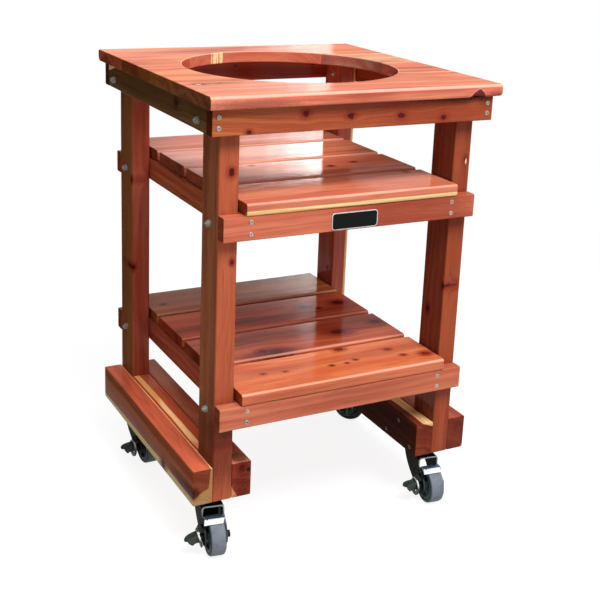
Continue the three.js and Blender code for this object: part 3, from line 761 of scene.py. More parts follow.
def addMarks(tree, timber, values, colour, grain, bent, board):
    # Knots with their haloes, then patches, which are real marks, painted shadow and painted glints, of which
    # the soft ones leave the knots' cores alone
    if values["knots"]:
        halo = times(tree, bent["Halo"], varnishAndPaintedHighlights["haloShare"])
        colour = mixColour(tree, halo, colour, tone(values["halo"]))
        heartTone = mixColour(tree, grain["Ring"], *[tone(c) for c in values["knotTones"]])
        colour = mixColour(tree, bent["Core"], colour, heartTone)
    for x, y, z, width, through, shade, softness, *long in values["patches"]:
        place = spotPlace(timber, (x, y, z), through, 1 / (long or [1])[0])
        out = useGroup(tree, knotGroup, Vector=board, Source=board, Size=width * mm, **place)
        mask = out["Core"]
        if softness:
            mask = times(tree, times(tree, out["Halo"], softness), minus(tree, 1.0, bent["Core"]))
        patchColour = mixColour(tree, grain["Fibre"], tone(shade, 0.75), tone(shade, 1.25))
        colour = mixColour(tree, mask, colour, patchColour)
    return colour


def addEdges(tree, timber, values, colour, grain, spot):
    # Painted highlights along the cut-out's rim and the front upper edge, a barked edge with painted shade and
    # a painted highlight, and painted light and shade on single faces
    place = addNode(tree, "SeparateXYZ", spot).outputs
    centre, size, axis = timber["centre"], timber["size"], timber["axis"]
    # Painted highlight: a pale band along the cut-out's upper rim
    if values["cut"]:
        rim = ramp(tree, fromMiddle(tree, spot), *[(values["cut"] + v) * mm for v in varnishAndPaintedHighlights["rimHighlightFade"]])
        rise = minus(tree, place[2], centre[2])
        top = ramp(tree, rise, *[size[2] / 2 - v * mm for v in varnishAndPaintedHighlights["rimHighlightTopFade"]])
        shade, share = varnishAndPaintedHighlights["rim"]
        colour = mixColour(tree, times(tree, times(tree, rim, top), share), colour, tone(shade))
    # A barked edge: bark colour with painted shade in its hollow and a painted highlight on its lip
    if values["wane"]:
        colour = barkShadeAndHighlight(tree, colour, place, values["wane"], grain["Fibre"], centre[2] - size[2] / 2)
    # Painted highlight: a pale band along the front upper edge
    if axis == "x" and values["arrisHighlight"]:
        # Up less rearwards, a round edge lies 0.59 of its radius inside the sharp one
        corner = centre[2] - centre[1] + (size[1] + size[2]) / 2 - values["round"] * 0.59 * mm
        height = minus(tree, place[2], place[1])
        near = ramp(tree, height, *[corner - v * mm for v in varnishAndPaintedHighlights["arrisHighlightFade"]])
        colour = mixColour(tree, times(tree, near, values["arrisHighlight"]), colour, tone(varnishAndPaintedHighlights["arrisHighlight"]))
    # Painted light and shade: single faces tinted lighter or darker for how light falls on them
    for face, tint in values["faces"].items():
        index, side = faceSides[face]
        outward = times(tree, minus(tree, place[index], centre[index]), side)
        near = outermost(tree, outward, abs(turns[axis].T @ size)[index] / 2)
        colour = mixColour(tree, near, colour, mixColour(tree, 1.0, colour, (*tint, 1.0), "MULTIPLY"))
    return colour


def cedarMaterial(name, kind, ownValues, timber):
    # Varnished cedar for one timber, its grain along the timber, with its own knots and sapwood
    values = {**plainCedar, **kinds[kind], **ownValues}
    material, tree, shader = newMaterial(name)
    spot = addNode(tree, "TexCoord").outputs["Object"]
    shift = -(turns[timber["axis"]] @ timber["centre"])
    places = {"Vector": spot, "Location": shift, "Rotation": mappingTurns[timber["axis"]]}
    board = fill(tree, addNode(tree, "Mapping"), places)[0]
    grain, bent = growWood(tree, timber, values, board)
    colour = addStripes(tree, timber, values, grain["Colour"], grain, bent, spot)
    colour = addMarks(tree, timber, values, colour, grain, bent, board)
    colour = addEdges(tree, timber, values, colour, grain, spot)
    along = addNode(tree, "SeparateXYZ", board).outputs[0]
    ends = outermost(tree, calc(tree, "ABSOLUTE", along), timber["size"][0] / 2)
    shade, share, rougher = varnishAndPaintedHighlights["ends"]
    ended = mixColour(tree, 1.0, colour, tone(shade), "MULTIPLY")
    low, high = varnishAndPaintedHighlights["gloss"]
    wear = useGroup(tree, wearGroup, Vector=board, Scale=varnishAndPaintedHighlights["smudges"], Low=low, High=high)
    fibreShare, ringShare = varnishAndPaintedHighlights["relief"]
    relief = plus(tree, times(tree, grain["Fibre"], fibreShare), times(tree, grain["Ring"], ringShare))
    ripple = boardNoise(tree, board, *varnishAndPaintedHighlights["rippleNoise"])
    fill(tree, shader, {
        "Base Color": mixColour(tree, times(tree, ends, share), colour, ended),
        "Roughness": plus(tree, wear["Roughness"], times(tree, ends, rougher)),
        "Normal": bumped(tree, relief, *varnishAndPaintedHighlights["grain"]),
        "Coat Normal": bumped(tree, ripple, *varnishAndPaintedHighlights["ripple"]),
        "Specular IOR Level": varnishAndPaintedHighlights["reflection"],
        "Coat Weight": values["coat"],
        "Coat Roughness": varnishAndPaintedHighlights["coatRoughness"],
    })
    return material


# A timber's face tints are painted light and shade for how the lamps fall on it
timbers = {
    "top_apron_front": {
        "tones": "amber", "bands": 0.55, "seed": 3.1, "heart": (30, -60), "gap": 5.2, "wander": 12,
        "rings": 0.3, "cloud": 0.6, "faces": {"left": (0.45, 0.6, 0.5)},
        "knots": [(-110, -281, 835, 5.5, "y"), (-21, -281, 827, 6, "y"), (83, -281, 822, 6.5, "y"),
                  (174, -281, 814, 6, "y"), (-216, -281, 808, 4, "y")],
        "patches": [(160, -281, 826, 45, "y", "8e3422", 0.6, 2.2),
                    # dark band under the top's overhang: painted shadow over darker wood
                    (196, -281, 852, 5, "y", "40160e", 0.9, 13)]},
    "top_apron_rear": {"tones": "wine", "faces": {"left": (0.45, 0.8, 0.6)}, "seed": 9.4},
    # Its darker umber tone is painted shade on this left-facing board
    "top_apron_left": {
        "tones": "leftShadeUmber", "halo": "2e2014", "rings": 0.3, "seed": 1.7, "knots": [(-283, -119, 834, 6, "x")],
        "sap": [((0, 0.23, 1), 873, 3)]},
    "top_apron_right": {"tones": "rust", "seed": 5.9},
    "mid_apron_front": {
        "tones": "coral", "tint": (0.92, 0.85, 0.92), "cloud": 0.35, "rings": 0.15, "seed": 7.3,
        "heart": (-10, -120), "gap": 4.6, "patches": [(130, -281, 640, 75, "y", "86301e", 0.6)]},
    "mid_apron_rear": {"tones": "rust", "seed": 4.4},
    "mid_rail_left": {"tones": "rust", "seed": 2.2},
    "mid_rail_right": {"tones": "wine", "seed": 6.1},
    "low_apron_front": {
        "tones": "coral", "tint": (0.84, 0.79, 0.83), "cloud": 0.3, "rings": 0.12, "seed": 8.8,
        "sap": [((-0.0375, 0, -1), -257.3, 1.5)]},
    "low_apron_rear": {"tones": "rust", "seed": 0.6},
    "low_rail_left": {"tones": "wine", "seed": 3.9},
    "low_rail_right": {"tones": "rust", "seed": 7.7},
    "mid_board_1": {
        "tones": "salmon", "tint": (0.83, 0.77, 0.75), "faces": {"front": (0.98, 1.06, 1.1)}, "seed": 11.2,
        "heart": (60, -200), "cloud": 0.3, "rings": 0.12, "knots": [(176, -166, 686, 5, "z")],
        "lines": [((-0.113, 1, 0), -190.5, 2, 1.2, "6a1e14", 0.7)], "sap": [((0, -1, -1.6), -418.4, 0.8)]},
    "mid_board_2": {
        "tones": "coral", "tint": (1.2, 1.1, 1.1), "seed": 12.5,
        "knots": [(-91, -27, 686, 4, "z"), (59, -75, 686, 5, "z"), (120, -57, 686, 5, "z")]},
    "mid_board_3": {"tones": "coral", "seed": 13.1},
    "mid_board_4": {"tones": "coral", "seed": 14.9, "coat": 0.22},
    "low_board_1": {
        "tones": "honey", "knotTones": ("7c2614", "521a10"), "tint": (0.90, 0.83, 0.88), "cloud": 0.5,
        "faces": {"front": (0.82, 0.78, 0.96)}, "seed": 15.3, "heart": (-30, -90), "wander": 14,
        "knots": [(49, -161, 333, 8, "z"), (139, -198, 333, 5, "z"), (153, -234, 333, 4.5, "z"),
                  (199, -244, 333, 8, "z"), (53, -219, 333, 3.5, "z"), (30, -227, 333, 3, "z"),
                  (-3, -226, 333, 3.5, "z"), (-98, -218, 333, 3, "z"), (-142, -212, 333, 3.5, "z")]},
    "low_board_2": {
        "tones": "garnet", "tint": (1.15, 1.12, 0.88), "cloud": 0.6, "seed": 16.7, "wander": 14,
        "knots": [(195, -55, 333, 11, "z"), (93, -78, 333, 14, "z"), (-73, -125, 333, 15, "z"),
                  (-95, -114, 333, 9, "z")],
        "patches": [(-85, -128, 333, 9, "z", "3a120c", 0.6, 4)]},
    "low_board_3": {
        "tones": "garnet", "tint": (1.2, 1.0, 0.8), "coat": 0.16, "cloud": 0.6, "seed": 17.8, "wander": 14,
        "knots": [(179, 77, 333, 12, "z"), (96, 77, 333, 10, "z"), (120, 60, 333, 5, "z")]},
    "low_board_4": {
        "tones": "brown", "tint": (1.25, 1.12, 0.8), "coat": 0.2, "seed": 18.6,
        "knots": [(-183, 204, 333, 5, "z")]},
    "post_front_left": {
        "tones": "rust", "seed": 19.2, "heart": (50, 20), "faces": {"left": (0.86, 1.2, 1.3)},
        "knots": [(-235, -257, 736, 6, "y"), (-231, -257, 575, 4, "y"), (-259, -262, 226, 4, "x")],
        "patches": [(-240, -257, 220, 40, "y", "521c12", 0.6)]},
    "post_front_right": {
        "tones": "russet", "tint": (0.88, 0.86, 0.80), "seed": 20.1, "heart": (50, 25),
        "faces": {"left": (0.72, 0.9, 1.15)},
        "knots": [(249, -257, 726, 4, "y"), (221, -254, 474, 5, "x"), (221, -208, 412, 6, "x")],
        # pale streak at the knot: a painted glint
        "patches": [(249.5, -257.5, 722, 1.75, "y", "e6c4a0", 0, 4)]},
    "post_rear_left": {
        "tones": "wine", "seed": 21.5, "faces": {"left": (0.68, 1.2, 0.72)},
        "knots": [(-259, 190, 620, 5, "x"), (-256, 184, 432, 5, "y")]},
    "post_rear_right": {
        "tones": "wine", "tint": (1.25, 1.5, 1.75), "seed": 22.3, "knots": [(221, 208, 367, 4, "x")],
        "sap": [((1, -0.4, 0), 165.5, 1.5)]},
    "runner_left_outer": {
        "tones": "rust", "seed": 23.7, "cloud": 0.3,
        "faces": {"top": (1.6, 1.32, 1.5), "left": (0.78, 0.9, 0.86)},
        "knots": [(-298, -107, 128, 9, "x"), (-299, -257, 142, 6, "y")],
        "patches": [(-297, -257, 139, 7, "y", "461610", 0.55)],
        "sap": [((1, 0, -0.14), -285.5, 2), ((0.374, -0.02, -1), -225.6, 2)]},
    "runner_left_inner": {
        "tones": "wine", "seed": 24.9, "cloud": 0.2,
        "faces": {"top": (1.9, 3.2, 3.4), "front": (1.5, 1.15, 1.0)},
        "knots": [(-201, -257, 173, 6, "y")], "sap": [((-1, 0, -0.55), 127, 2)],
        "patches": [(-197, -236, 173, 13, "z", "2a100c", 0.8), (-186, -257, 167, 3, "y", "240e0c", 0.9)]},
    "runner_right_outer": {"tones": "wine", "seed": 25.2, "sap": [((1, 0, -0.6), 190, 4)]},
    # Its darker mahogany tone and face tints are painted shade under the table
    "runner_right_inner": {
        "tones": "underShadeMahogany", "faces": {"left": (0.28, 0.34, 0.28), "front": (2.0, 2.3, 2.8)}, "coat": 0.04,
        "seed": 26.8, "sap": [((0.35, 0, 1), 239.7, 2)]},
    "filler_left": {
        "tones": "rust", "faces": {"top": (1.7, 1.5, 1.5)}, "seed": 27.6,
        "sap": [((-1, -0.002, 0), 243.5, 4, 11)]},
    "filler_right": {"tones": "wine", "seed": 28.4},
}

timberShape = {
    "ease": 1.4,    # quarter round at each end
    "bow": 0.35,    # how far a timber bends inwards
}


def timberPlan(node):
    # Long axis, kind and material slot, from the timber's name
    if node.startswith("post"):
        return "z", "post", "cedar_post"
    if "board" in node:
        return "x", node[:3], "cedar_shelf"
    if node.startswith(("runner", "filler")):
        return "y", "frame", "cedar_runner"
    return "y" if node.endswith(("_left", "_right")) else "x", "frame", "cedar_frame"


def roundedEnds(low, high, radius, steps):
    # Places along a board and how far its section draws in there: a quarter round at each end
    angles = np.linspace(0, math.pi / 2, steps + 1)
    places = radius * (1 - np.sin(angles))[::-1]
    insets = radius * (1 - np.cos(angles))[::-1]
    return low + places, high - places[::-1], insets


def timberShell(centre, size, axis, radius, seed):
    # A rounded rectangle carried along the timber, drawn in over a quarter round at each end,
    # and bent inwards by less than half a millimetre so that no two timbers are the same
    starts, ends, insets = roundedEnds(-size[0] / 2, size[0] / 2, timberShape["ease"] * mm, 3)
    inner = np.linspace(starts[-1], ends[0], 15)[1:-1]
    places = np.array([starts[0], *starts, *inner, *ends, ends[-1]])
    draw = np.array([insets[0], *insets, *[0.0] * len(inner), *insets[::-1], insets[0]])
    rings = []
    for place, inset in zip(places, draw):
        rounds = [max(radius - inset, 0.2 * mm)] * 4
        outline = roundedProfile(size[1] / 2 - inset, size[2] / 2 - inset, rounds)
        rings.append(np.column_stack([np.full(len(outline), place), outline]))
    rings = np.array(rings)
    rings[[0, -1], :, 1:] *= 0.6
    phase = (rings[:, :, 0] / size[0] + 0.5) * 2 * math.pi + seed
    sway = timberShape["bow"] * mm * (np.sin(phase) - 1) / 2
    rings[:, :, 2] += sway * (rings[:, :, 2] > 0)
    rings[:, :, 1] += sway * np.sign(rings[:, :, 1]) * (np.abs(rings[:, :, 1]) > size[1] * 0.4)
    points, faces = skin(rings)
    return points @ turns[axis] + centre, faces


def addTimbers():
    for node, values in timbers.items():
        low, high = (np.array(c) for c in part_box(node))
        axis, kind, slot = timberPlan(node)
        size = np.abs(turns[axis] @ (high - low))
        timber = {"centre": (low + high) / 2, "size": size, "axis": axis}
        material = cedarMaterial("cedar_" + node, kind, values, timber)
        shell = timberShell(**timber, radius=kinds[kind]["round"] * mm, seed=values["seed"])
        newPiece("wood_" + node, [shell], material, "table", [node])


addTimbers()
print("timbers made:", len(timbers))


# Top boards

# Face tints here are painted light and shade, and the front edge's share is its painted highlight
topBoards = {
    "top_board_1": {
        "tint": (0.90, 0.94, 0.92), "seed": 31.3, "heart": (40, -120), "wander": 12, "arrisHighlight": 0.6,
        "faces": {"front": (1.04, 0.93, 1.05), "left": (0.64, 0.82, 0.72)}, "wane": (241, 22, 16, 15.5),
        "knots": [(-260, -171, 874, 7, "z"), (-222, -168, 874, 3, "z")],
        "patches": [(278, -297, 850, 7, "y", "8a3428", 0.6, 1.8),
                    (-215, -297, 858, 4, "y", "702828", 0.6, 12),
                    (-228, -168, 874, 5, "z", "6c5426", 0.65, 5),
                    # pale spot on the knot: a painted reflection
                    (-262, -171.5, 874, 4, "z", "f4b4aa", 0, 1.6)]},
    "top_board_2_left": {"tint": (0.96, 0.88, 0.58), "faces": {"left": (0.72, 1.1, 1.0)}, "seed": 32.1},
    "top_board_2_right": {"seed": 32.1, "sap": [((0.07, 1, 0), -118, 3, 5)]},
    "top_board_3_left": {"tint": (0.80, 0.57, 0.39), "faces": {"left": (0.72, 1.1, 1.0)}, "seed": 33.7},
    "top_board_3_right": {
        "wall": "8c3e42", "tint": (0.98, 1.38, 1.45), "seed": 33.7, "sap": [((0.584, 1, 0), 156, 2, 5)]},
    "top_board_4": {
        "tint": (1.0, 0.92, 0.82), "seed": 34.9,
        "patches": [(-75, 196, 866, 6, "z", "eccf96", 0), (-59, 202, 868, 5, "z", "eccf96", 0),
                    (-68, 199, 862, 2.2, "z", "f2dcae", 0), (-84, 193, 862, 2.5, "z", "e2b87c", 0)]},
}

topShape = {
    "cutRadius": 210.5,
    "rim": 2.0,
    "seamRound": 0.7,
    "endRound": 1.6,
    "front": (4.0, 6.5),     # rounds along the front edge, below and above
    "rear": (9.0, 4.0),      # the same along the rear edge
    "waneArch": (240.0, 22.0, 13.0),    # middle, half length and height of the arch of lost wood
    "waneTail": (252.0, 292.0, 4.0),    # from, to and height of the hollow beside it
}


def waneDepth(x):
    # An arch, the square of a cosine, and beside it a hollow that deepens in a straight line
    middle, half, height = (v * mm for v in topShape["waneArch"])
    start, end, tail = (v * mm for v in topShape["waneTail"])
    arch = height * np.cos(np.clip((x - middle) / half, -1, 1) * math.pi / 2) ** 2
    return arch + tail * np.clip((x - start) / (end - start), 0, 1)


def boardSection(first, second, low, high, inset, rounds, steps):
    # A section from one edge to the other, between the board's faces
    half = (abs(first - second) / 2, (high[2] - low[2]) / 2 - inset)
    return roundedProfile(*half, rounds, steps, 6) + ((first + second) / 2, (high[2] + low[2]) / 2)


def outerBoardShell(low, high, side):
    # Carried along X: the section's inner edge follows the seam, then the circle of the cut-out
    radius, rim, seam = (topShape[key] * mm for key in ("cutRadius", "rim", "seamRound"))
    seamY = high[1] if side < 0 else low[1]
    reach = math.sqrt(radius ** 2 - seamY ** 2)
    starts, ends, insets = roundedEnds(low[0], high[0], topShape["endRound"] * mm, 4)
    turn = math.asin(reach / radius)
    arc = radius * np.sin(np.linspace(-turn, turn, 61))
    straight = np.linspace(starts[-1], -reach, 10)[1:-1]
    dense = np.linspace(reach, ends[0], 40)[1:-1]
    places = np.concatenate([starts, straight, arc, dense, ends])
    draw = np.concatenate([insets, np.zeros(len(straight) + len(arc) + len(dense)), insets[::-1]])
    edge = seam + (rim - seam) * np.clip((reach - np.abs(places)) / (2 * mm), 0, 1)
    circle = np.sqrt(np.maximum(radius ** 2 - places ** 2, 0)) * side
    innerY = np.where(np.abs(places) < reach, circle, seamY)
    lowRound, highRound = (v * mm for v in (topShape["front"] if side < 0 else topShape["rear"]))
    lost = waneDepth(places) if side < 0 else np.zeros(len(places))
    rings = []
    for x, y, inset, inner, more in zip(places, innerY, draw, edge, lost):
        outerY = (low[1] + inset) if side < 0 else (high[1] - inset)
        rounds = [lowRound + more, inner, inner, highRound]
        if side > 0:
            rounds = [inner, lowRound, highRound, inner]
        section = boardSection(y, outerY, low, high, inset, rounds, 6)
        rings.append(np.column_stack([np.full(len(section), x), section]))
    return skin(closedEnds(np.array(rings)))


def innerBoardShell(low, high, side):
    # Carried along Y: the section runs from the table's side to the circle of the cut-out
    radius, rim, end = (topShape[key] * mm for key in ("cutRadius", "rim", "endRound"))
    starts, ends, insets = roundedEnds(low[1], high[1], topShape["seamRound"] * mm, 3)
    middle = np.linspace(starts[-1], ends[0], 34)[1:-1]
    places = np.concatenate([starts, middle, ends])
    draw = np.concatenate([insets, np.zeros(len(middle)), insets[::-1]])
    outerX = low[0] if side < 0 else high[0]
    rounds = [end, rim, rim, end] if side < 0 else [rim, end, end, rim]
    rings = []
    for y, inset in zip(places, draw):
        innerX = side * math.sqrt(radius ** 2 - y ** 2)
        section = boardSection(innerX, outerX, low, high, inset, rounds, 5)
        rings.append(np.column_stack([section[:, 0], np.full(len(section), y), section[:, 1]]))
    return skin(closedEnds(np.array(rings)))


def addTopBoards():
    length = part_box("top_board_1")[1][0] * 2
    for node, values in topBoards.items():
        low, high = (np.array(c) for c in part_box(node))
        centre, size = np.array([0, *(low + high)[1:] / 2]), np.array([length, *(high - low)[1:]])
        timber = {"centre": centre, "size": size, "axis": "x"}
        values = {**values, "cut": topShape["cutRadius"]}
        material = cedarMaterial("cedar_" + node, "top", values, timber)
        shellOf = innerBoardShell if node.endswith(("_left", "_right")) else outerBoardShell
        side = -1 if node.endswith(("_left", "_1")) else 1
        newPiece("wood_" + node, [shellOf(low, high, side)], material, "table", [node])


addTopBoards()
print("top boards made")


# Metal, rubber and plastic

plainFinish = {
    "scale": 60.0,           # smudges to the metre
    "metal": 0.0,
    "grain": 0.0,            # strength of its fine relief
    "grainScale": 900.0,
    "grainDepth": 0.3,
    "reflection": 0.5,
    "coat": 0.0,
    "coatRoughness": 0.25,
    "edge": None,            # colour and metalness where a piece's edges are marked: painted highlights on the fork and lever, a painted reflection on the strap, darker tyre sidewalls
    "edgeMetal": None,
}

finishes = {
    "zinc": {"colours": ("b4b4ae", "8e908c"), "gloss": (0.26, 0.42), "metal": 0.85, "grain": 0.08},
    "screw": {"colours": ("aaa298", "857c72"), "gloss": (0.30, 0.45), "metal": 0.6, "grain": 0.08},
    # screws inside the frame, darkened as painted shade
    "shadedScrew": {"colours": ("54443e", "3c302c"), "gloss": (0.40, 0.55), "metal": 0.4, "grain": 0.08},
    "bolt": {"colours": ("b8c0b4", "848c82"), "gloss": (0.26, 0.42), "metal": 0.45, "grain": 0.08},
    # the strap's marked arc, near white and barely metallic, is a painted reflection
    "strap": {
        "colours": ("93a8cc", "788cb0"), "scale": 40.0, "gloss": (0.14, 0.24), "metal": 0.92, "grain": 0.05,
        "edge": "f4f8fc", "edgeMetal": 0.1},
    # black steel's marked edges: bare steel and a painted highlight
    "blackSteel": {
        "colours": ("20231f", "2e332e"), "scale": 55.0, "gloss": (0.40, 0.55), "grain": 0.20,
        "reflection": 0.0, "coat": 0.10, "edge": "d8e0e0"},
    # the lever disc's marked upper rim is a painted highlight
    "leverSteel": {
        "colours": ("3a423c", "2a302c"), "scale": 55.0, "gloss": (0.36, 0.50), "grain": 0.20,
        "reflection": 0.10, "coat": 0.14, "edge": "d8e0e0"},
    # the tyre's marked sidewalls are darker, partly painted shade
    "tread": {
        "colours": ("747c86", "606973"), "scale": 45.0, "gloss": (0.50, 0.68), "grain": 0.30,
        "reflection": 0.20, "edge": "354448"},
    "hub": {
        "colours": ("46585a", "36464a"), "scale": 70.0, "gloss": (0.38, 0.52), "grain": 0.15,
        "reflection": 0.15},
    "badge": {
        "colours": ("08090a", "0e0f11"), "scale": 30.0, "gloss": (0.30, 0.42), "grain": 0.06,
        "reflection": 0.12},
    "badgeRim": {"colours": ("cfd1d2", "b4b7b9"), "scale": 80.0, "gloss": (0.30, 0.45), "metal": 0.4},
}


def plainMaterial(name, ownValues):
    # A finish whose colour and roughness drift with slow and quick noise, and another colour at marked edges,
    # which paints highlights, a reflection and shade on the pieces that carry marks
    values = {**plainFinish, **ownValues}
    material, tree, shader = newMaterial(name)
    spot = addNode(tree, "TexCoord").outputs["Object"]
    low, high = values["gloss"]
    wear = useGroup(tree, wearGroup, Vector=spot, Scale=values["scale"], Low=low, High=high)
    colour = mixColour(tree, wear["Mask"], *[tone(c) for c in values["colours"]])
    metal = values["metal"]
    if values["edge"]:
        marked = addNode(tree, "Attribute", attribute_name="edge").outputs["Fac"]
        colour = mixColour(tree, marked, colour, tone(values["edge"]))
        if values["edgeMetal"] is not None:
            metal = calc(tree, "MULTIPLY_ADD", marked, values["edgeMetal"] - metal, metal)
    fill(tree, shader, {
        "Base Color": colour,
        "Roughness": wear["Roughness"],
        "Metallic": metal,
        "Specular IOR Level": values["reflection"],
        "Coat Weight": values["coat"],
        "Coat Roughness": values["coatRoughness"],
    })
    if values["grain"]:
        relief = noise(tree, spot, values["grainScale"])
        fill(tree, shader, {"Normal": bumped(tree, relief, values["grain"], values["grainDepth"])})
    return material


finish = {name: plainMaterial(name, values) for name, values in finishes.items()}


# Screws, frame bolts and the bare plate

screw = {
    "radius": 4.4,
    "rise": 1.3,
    "recess": 1.1,
    "crossShares": (0.13, 0.53),    # half width and reach of the cross, of the radius
    "turnStep": 1.1,    # each screw stopped at another angle
}

screwPlaces = {
    "aprons": {    # x and heights of the screws at each end of an apron
        "top": (271.0, (836.5, 817.5)),
        "mid": (207.0, (651.5, 629.8)),
        "low": (205.0, (297.9, 276.6)),
    },
    "runners": ((-192, 167.5), (-147, 128.5), (-236, 127.5)),    # y, z on the inner faces
    "rearApron": ((-187, 835.5), (0, 835.5), (187, 835.5)),    # x, z inside the rear apron
}

frameBolt = {
    "y": 221.0,
    "heights": {"top": 821.5, "mid": 638.5, "low": 287.5},
    "across": 11.0,
    "nut": 4.6,
    "washer": (7.0, 1.2),    # radius, thickness
    "stub": (3.1, 3.0, 0.35),    # radius, length beyond the nut, depth of its thread
    "head": (8.0, 3.2),    # radius and rise of the dome inside
    "sunk": 0.5,    # how deep the dome starts in the wood
}


def screwHead(centre, outward, turn):
    # A low dome over a polar grid, lowered where the cross of its recess runs
    outward = np.array(outward, float)
    first, second = crossWays(outward)
    shares = np.array([1.0, 1.0, 0.96, 0.86, 0.72, 0.56, 0.50, 0.40, 0.26, 0.14])[:, None]
    angles = np.linspace(0, 2 * math.pi, 32, endpoint=False)
    heights = screw["rise"] * np.sqrt(np.clip(1 - (shares * 0.97) ** 2.6, 0, 1))
    heights[0] = -screw["rise"]
    halfWidth, reach = screw["crossShares"]
    arm = np.minimum(np.abs(np.cos(angles)), np.abs(np.sin(angles)))[None] * shares
    heights = (heights - ((arm < halfWidth) & (shares < reach)) * screw["recess"])[..., None]
    across, along = (screw["radius"] * shares * wave(angles + turn) for wave in (np.cos, np.sin))
    rings = across[..., None] * first + along[..., None] * second + heights * outward
    return skin(np.array(centre) + rings * mm)


def addScrews():
    apronSpots, innerSpots = [], []
    for level, (x, heights) in screwPlaces["aprons"].items():
        for index, side in enumerate(("front", "rear")):
            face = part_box(f"{level}_apron_{side}")[index][1]
            for sideX in (-1, 1):
                apronSpots += [((sideX * x * mm, face, z * mm), (0, 2 * index - 1, 0)) for z in heights]
    for index, name in enumerate(("right", "left")):
        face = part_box(f"runner_{name}_inner")[index][0]
        for y, z in screwPlaces["runners"]:
            innerSpots += [((face, sideY * y * mm, z * mm), (2 * index - 1, 0, 0)) for sideY in (1, -1)]
    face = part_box("top_apron_rear")[0][1]
    innerSpots += [((x * mm, face, z * mm), (0, -1, 0)) for x, z in screwPlaces["rearApron"]]
    heads = []
    for spot, way in apronSpots + innerSpots:
        heads.append(screwHead(spot, way, 0.4 + screw["turnStep"] * (len(heads) + 1)))
    count = len(apronSpots)
    newPiece("apron_screws", heads[:count], finish["screw"], "table")
    # The screws inside the frame take a darker finish: painted shade
    newPiece("inner_screws", heads[count:], finish["shadedScrew"], "table")
    print("screws made:", len(heads))


def frameBoltShells(outer, inner, way):
    # A hexagon nut on a washer with the thread's end outside, a low dome inside
    radius, thick = (v * mm for v in frameBolt["washer"])
    stub, length, depth = (v * mm for v in frameBolt["stub"])
    head, rise = (v * mm for v in frameBolt["head"])
    nut, sunk = frameBolt["nut"] * mm, frameBolt["sunk"] * mm
    edge = thick * 0.3
    end = thick + nut + length
    thread = ridged(stub, depth, thick + nut * 0.8, end - 0.6 * mm, 15)
    washer = [(radius - edge, -edge), (radius, -edge), (radius, thick - edge), (radius - edge, thick)]
    return [
        lathed(washer, outer, way),
        hexagon(frameBolt["across"] * mm, thick, thick + nut, outer, way),
        lathed([(stub * 0.6, thread[0][1]), *thread, (stub * 0.75, end)], outer, way, 20),
        lathed([(head * 0.9, -sunk), (head, -sunk), *dome(head, rise, 9)], inner, (-way[0], 0, 0)),
    ]


def addFrameBolts():
    shells = []
    for level, z in frameBolt["heights"].items():
        for index, hand in enumerate(("left", "right")):
            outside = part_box(f"top_apron_{hand}" if level == "top" else f"post_front_{hand}")[index][0]
            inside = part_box(f"post_front_{hand}" if level == "top" else f"{level}_rail_{hand}")[1 - index][0]
            for y in (-frameBolt["y"] * mm, frameBolt["y"] * mm):
                shells += frameBoltShells((outside, y, z * mm), (inside, y, z * mm), (2 * index - 1, 0, 0))
    newPiece("frame_bolts", shells, finish["bolt"], "table")


badge = {
    "centre": (-2.5, 637.0),
    "size": (95.0, 32.0),
    "corner": 7.0,
    "thickness": 1.4,
    "rimWidth": 1.7,
    "rimRise": 0.4,
}


def flatPlate(inset, rise, face):
    # Rounded rectangles drawn in towards the middle and lifted a little, from the wood outwards
    width, height = badge["size"]
    x, z = badge["centre"]
    rings = []
    for more, lift in ((0.0, -0.2), (0.0, rise - 0.45), (0.15, rise - 0.15), (0.45, rise), (1.2, rise)):
        total = inset + more
        outline = roundedProfile(width / 2 - total, height / 2 - total, [badge["corner"] - total] * 4, 8, 4)
        rings.append(np.column_stack([outline[:, 0] + x, np.full(len(outline), -lift), outline[:, 1] + z]))
    return skin(np.array(rings) * mm + (0, face, 0))


def addBadge():
    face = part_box("mid_apron_front")[0][1]
    outer = flatPlate(0.0, badge["thickness"], face)
    inner = flatPlate(badge["rimWidth"], badge["thickness"] + badge["rimRise"], face)
    newPiece("plate_rim", [outer], finish["badgeRim"], "table")
    newPiece("plate_face", [inner], finish["badge"], "table")


addScrews()
addFrameBolts()
addBadge()
print("frame bolts and plate made")


# Casters, in millimetres from the king pin, the wheel trailing towards -Y

casters = {    # middle of the king pin, turn and how far the brake lever is pressed, in degrees
    "front_left": (-240.0, -195.0, -9.0, 14.0),
    "front_right": (240.0, -195.0, -7.0, 0.0),
    "rear_left": (-240.0, 195.0, 2.0, 0.0),
    "rear_right": (240.0, 195.0, 42.0, 0.0),
}

axle = (0.0, -50.0, 37.0)
hinge = (-28.0, -50.0, 55.0)
pin = (0, 0, 0)
up, down, right, left, rearward = (0, 0, 1), (0, 0, -1), (1, 0, 0), (-1, 0, 0), (0, 1, 0)


def bentSheet(path, lows, highs, thickness, across, ease=0.8, sides=6):
    # A flat strip carried along a path: its section is a thin rounded rectangle from low to high
    direction = np.gradient(path, axis=0)
    direction /= np.linalg.norm(direction, axis=1, keepdims=True)
    normal = np.cross(direction, across)
    rings, shares = [], []
    for point, outward, low, high in zip(path, normal, lows, highs):
        half = (high - low) / 2
        section = roundedProfile(half, thickness / 2, [min(ease, half * 0.9)] * 4, 3, sides)
        level = point * (1 - np.abs(across)) + np.array(across) * (high + low) / 2
        rings.append(level + section[:, :1] * across + section[:, 1:] * outward)
        shares.append(np.abs(section[:, 0]) > half - ease * 0.7)
    shares = np.concatenate([shares[0], *shares, shares[-1], (0, 0)]).astype(float)
    return *skin(closedEnds(np.array(rings))), shares


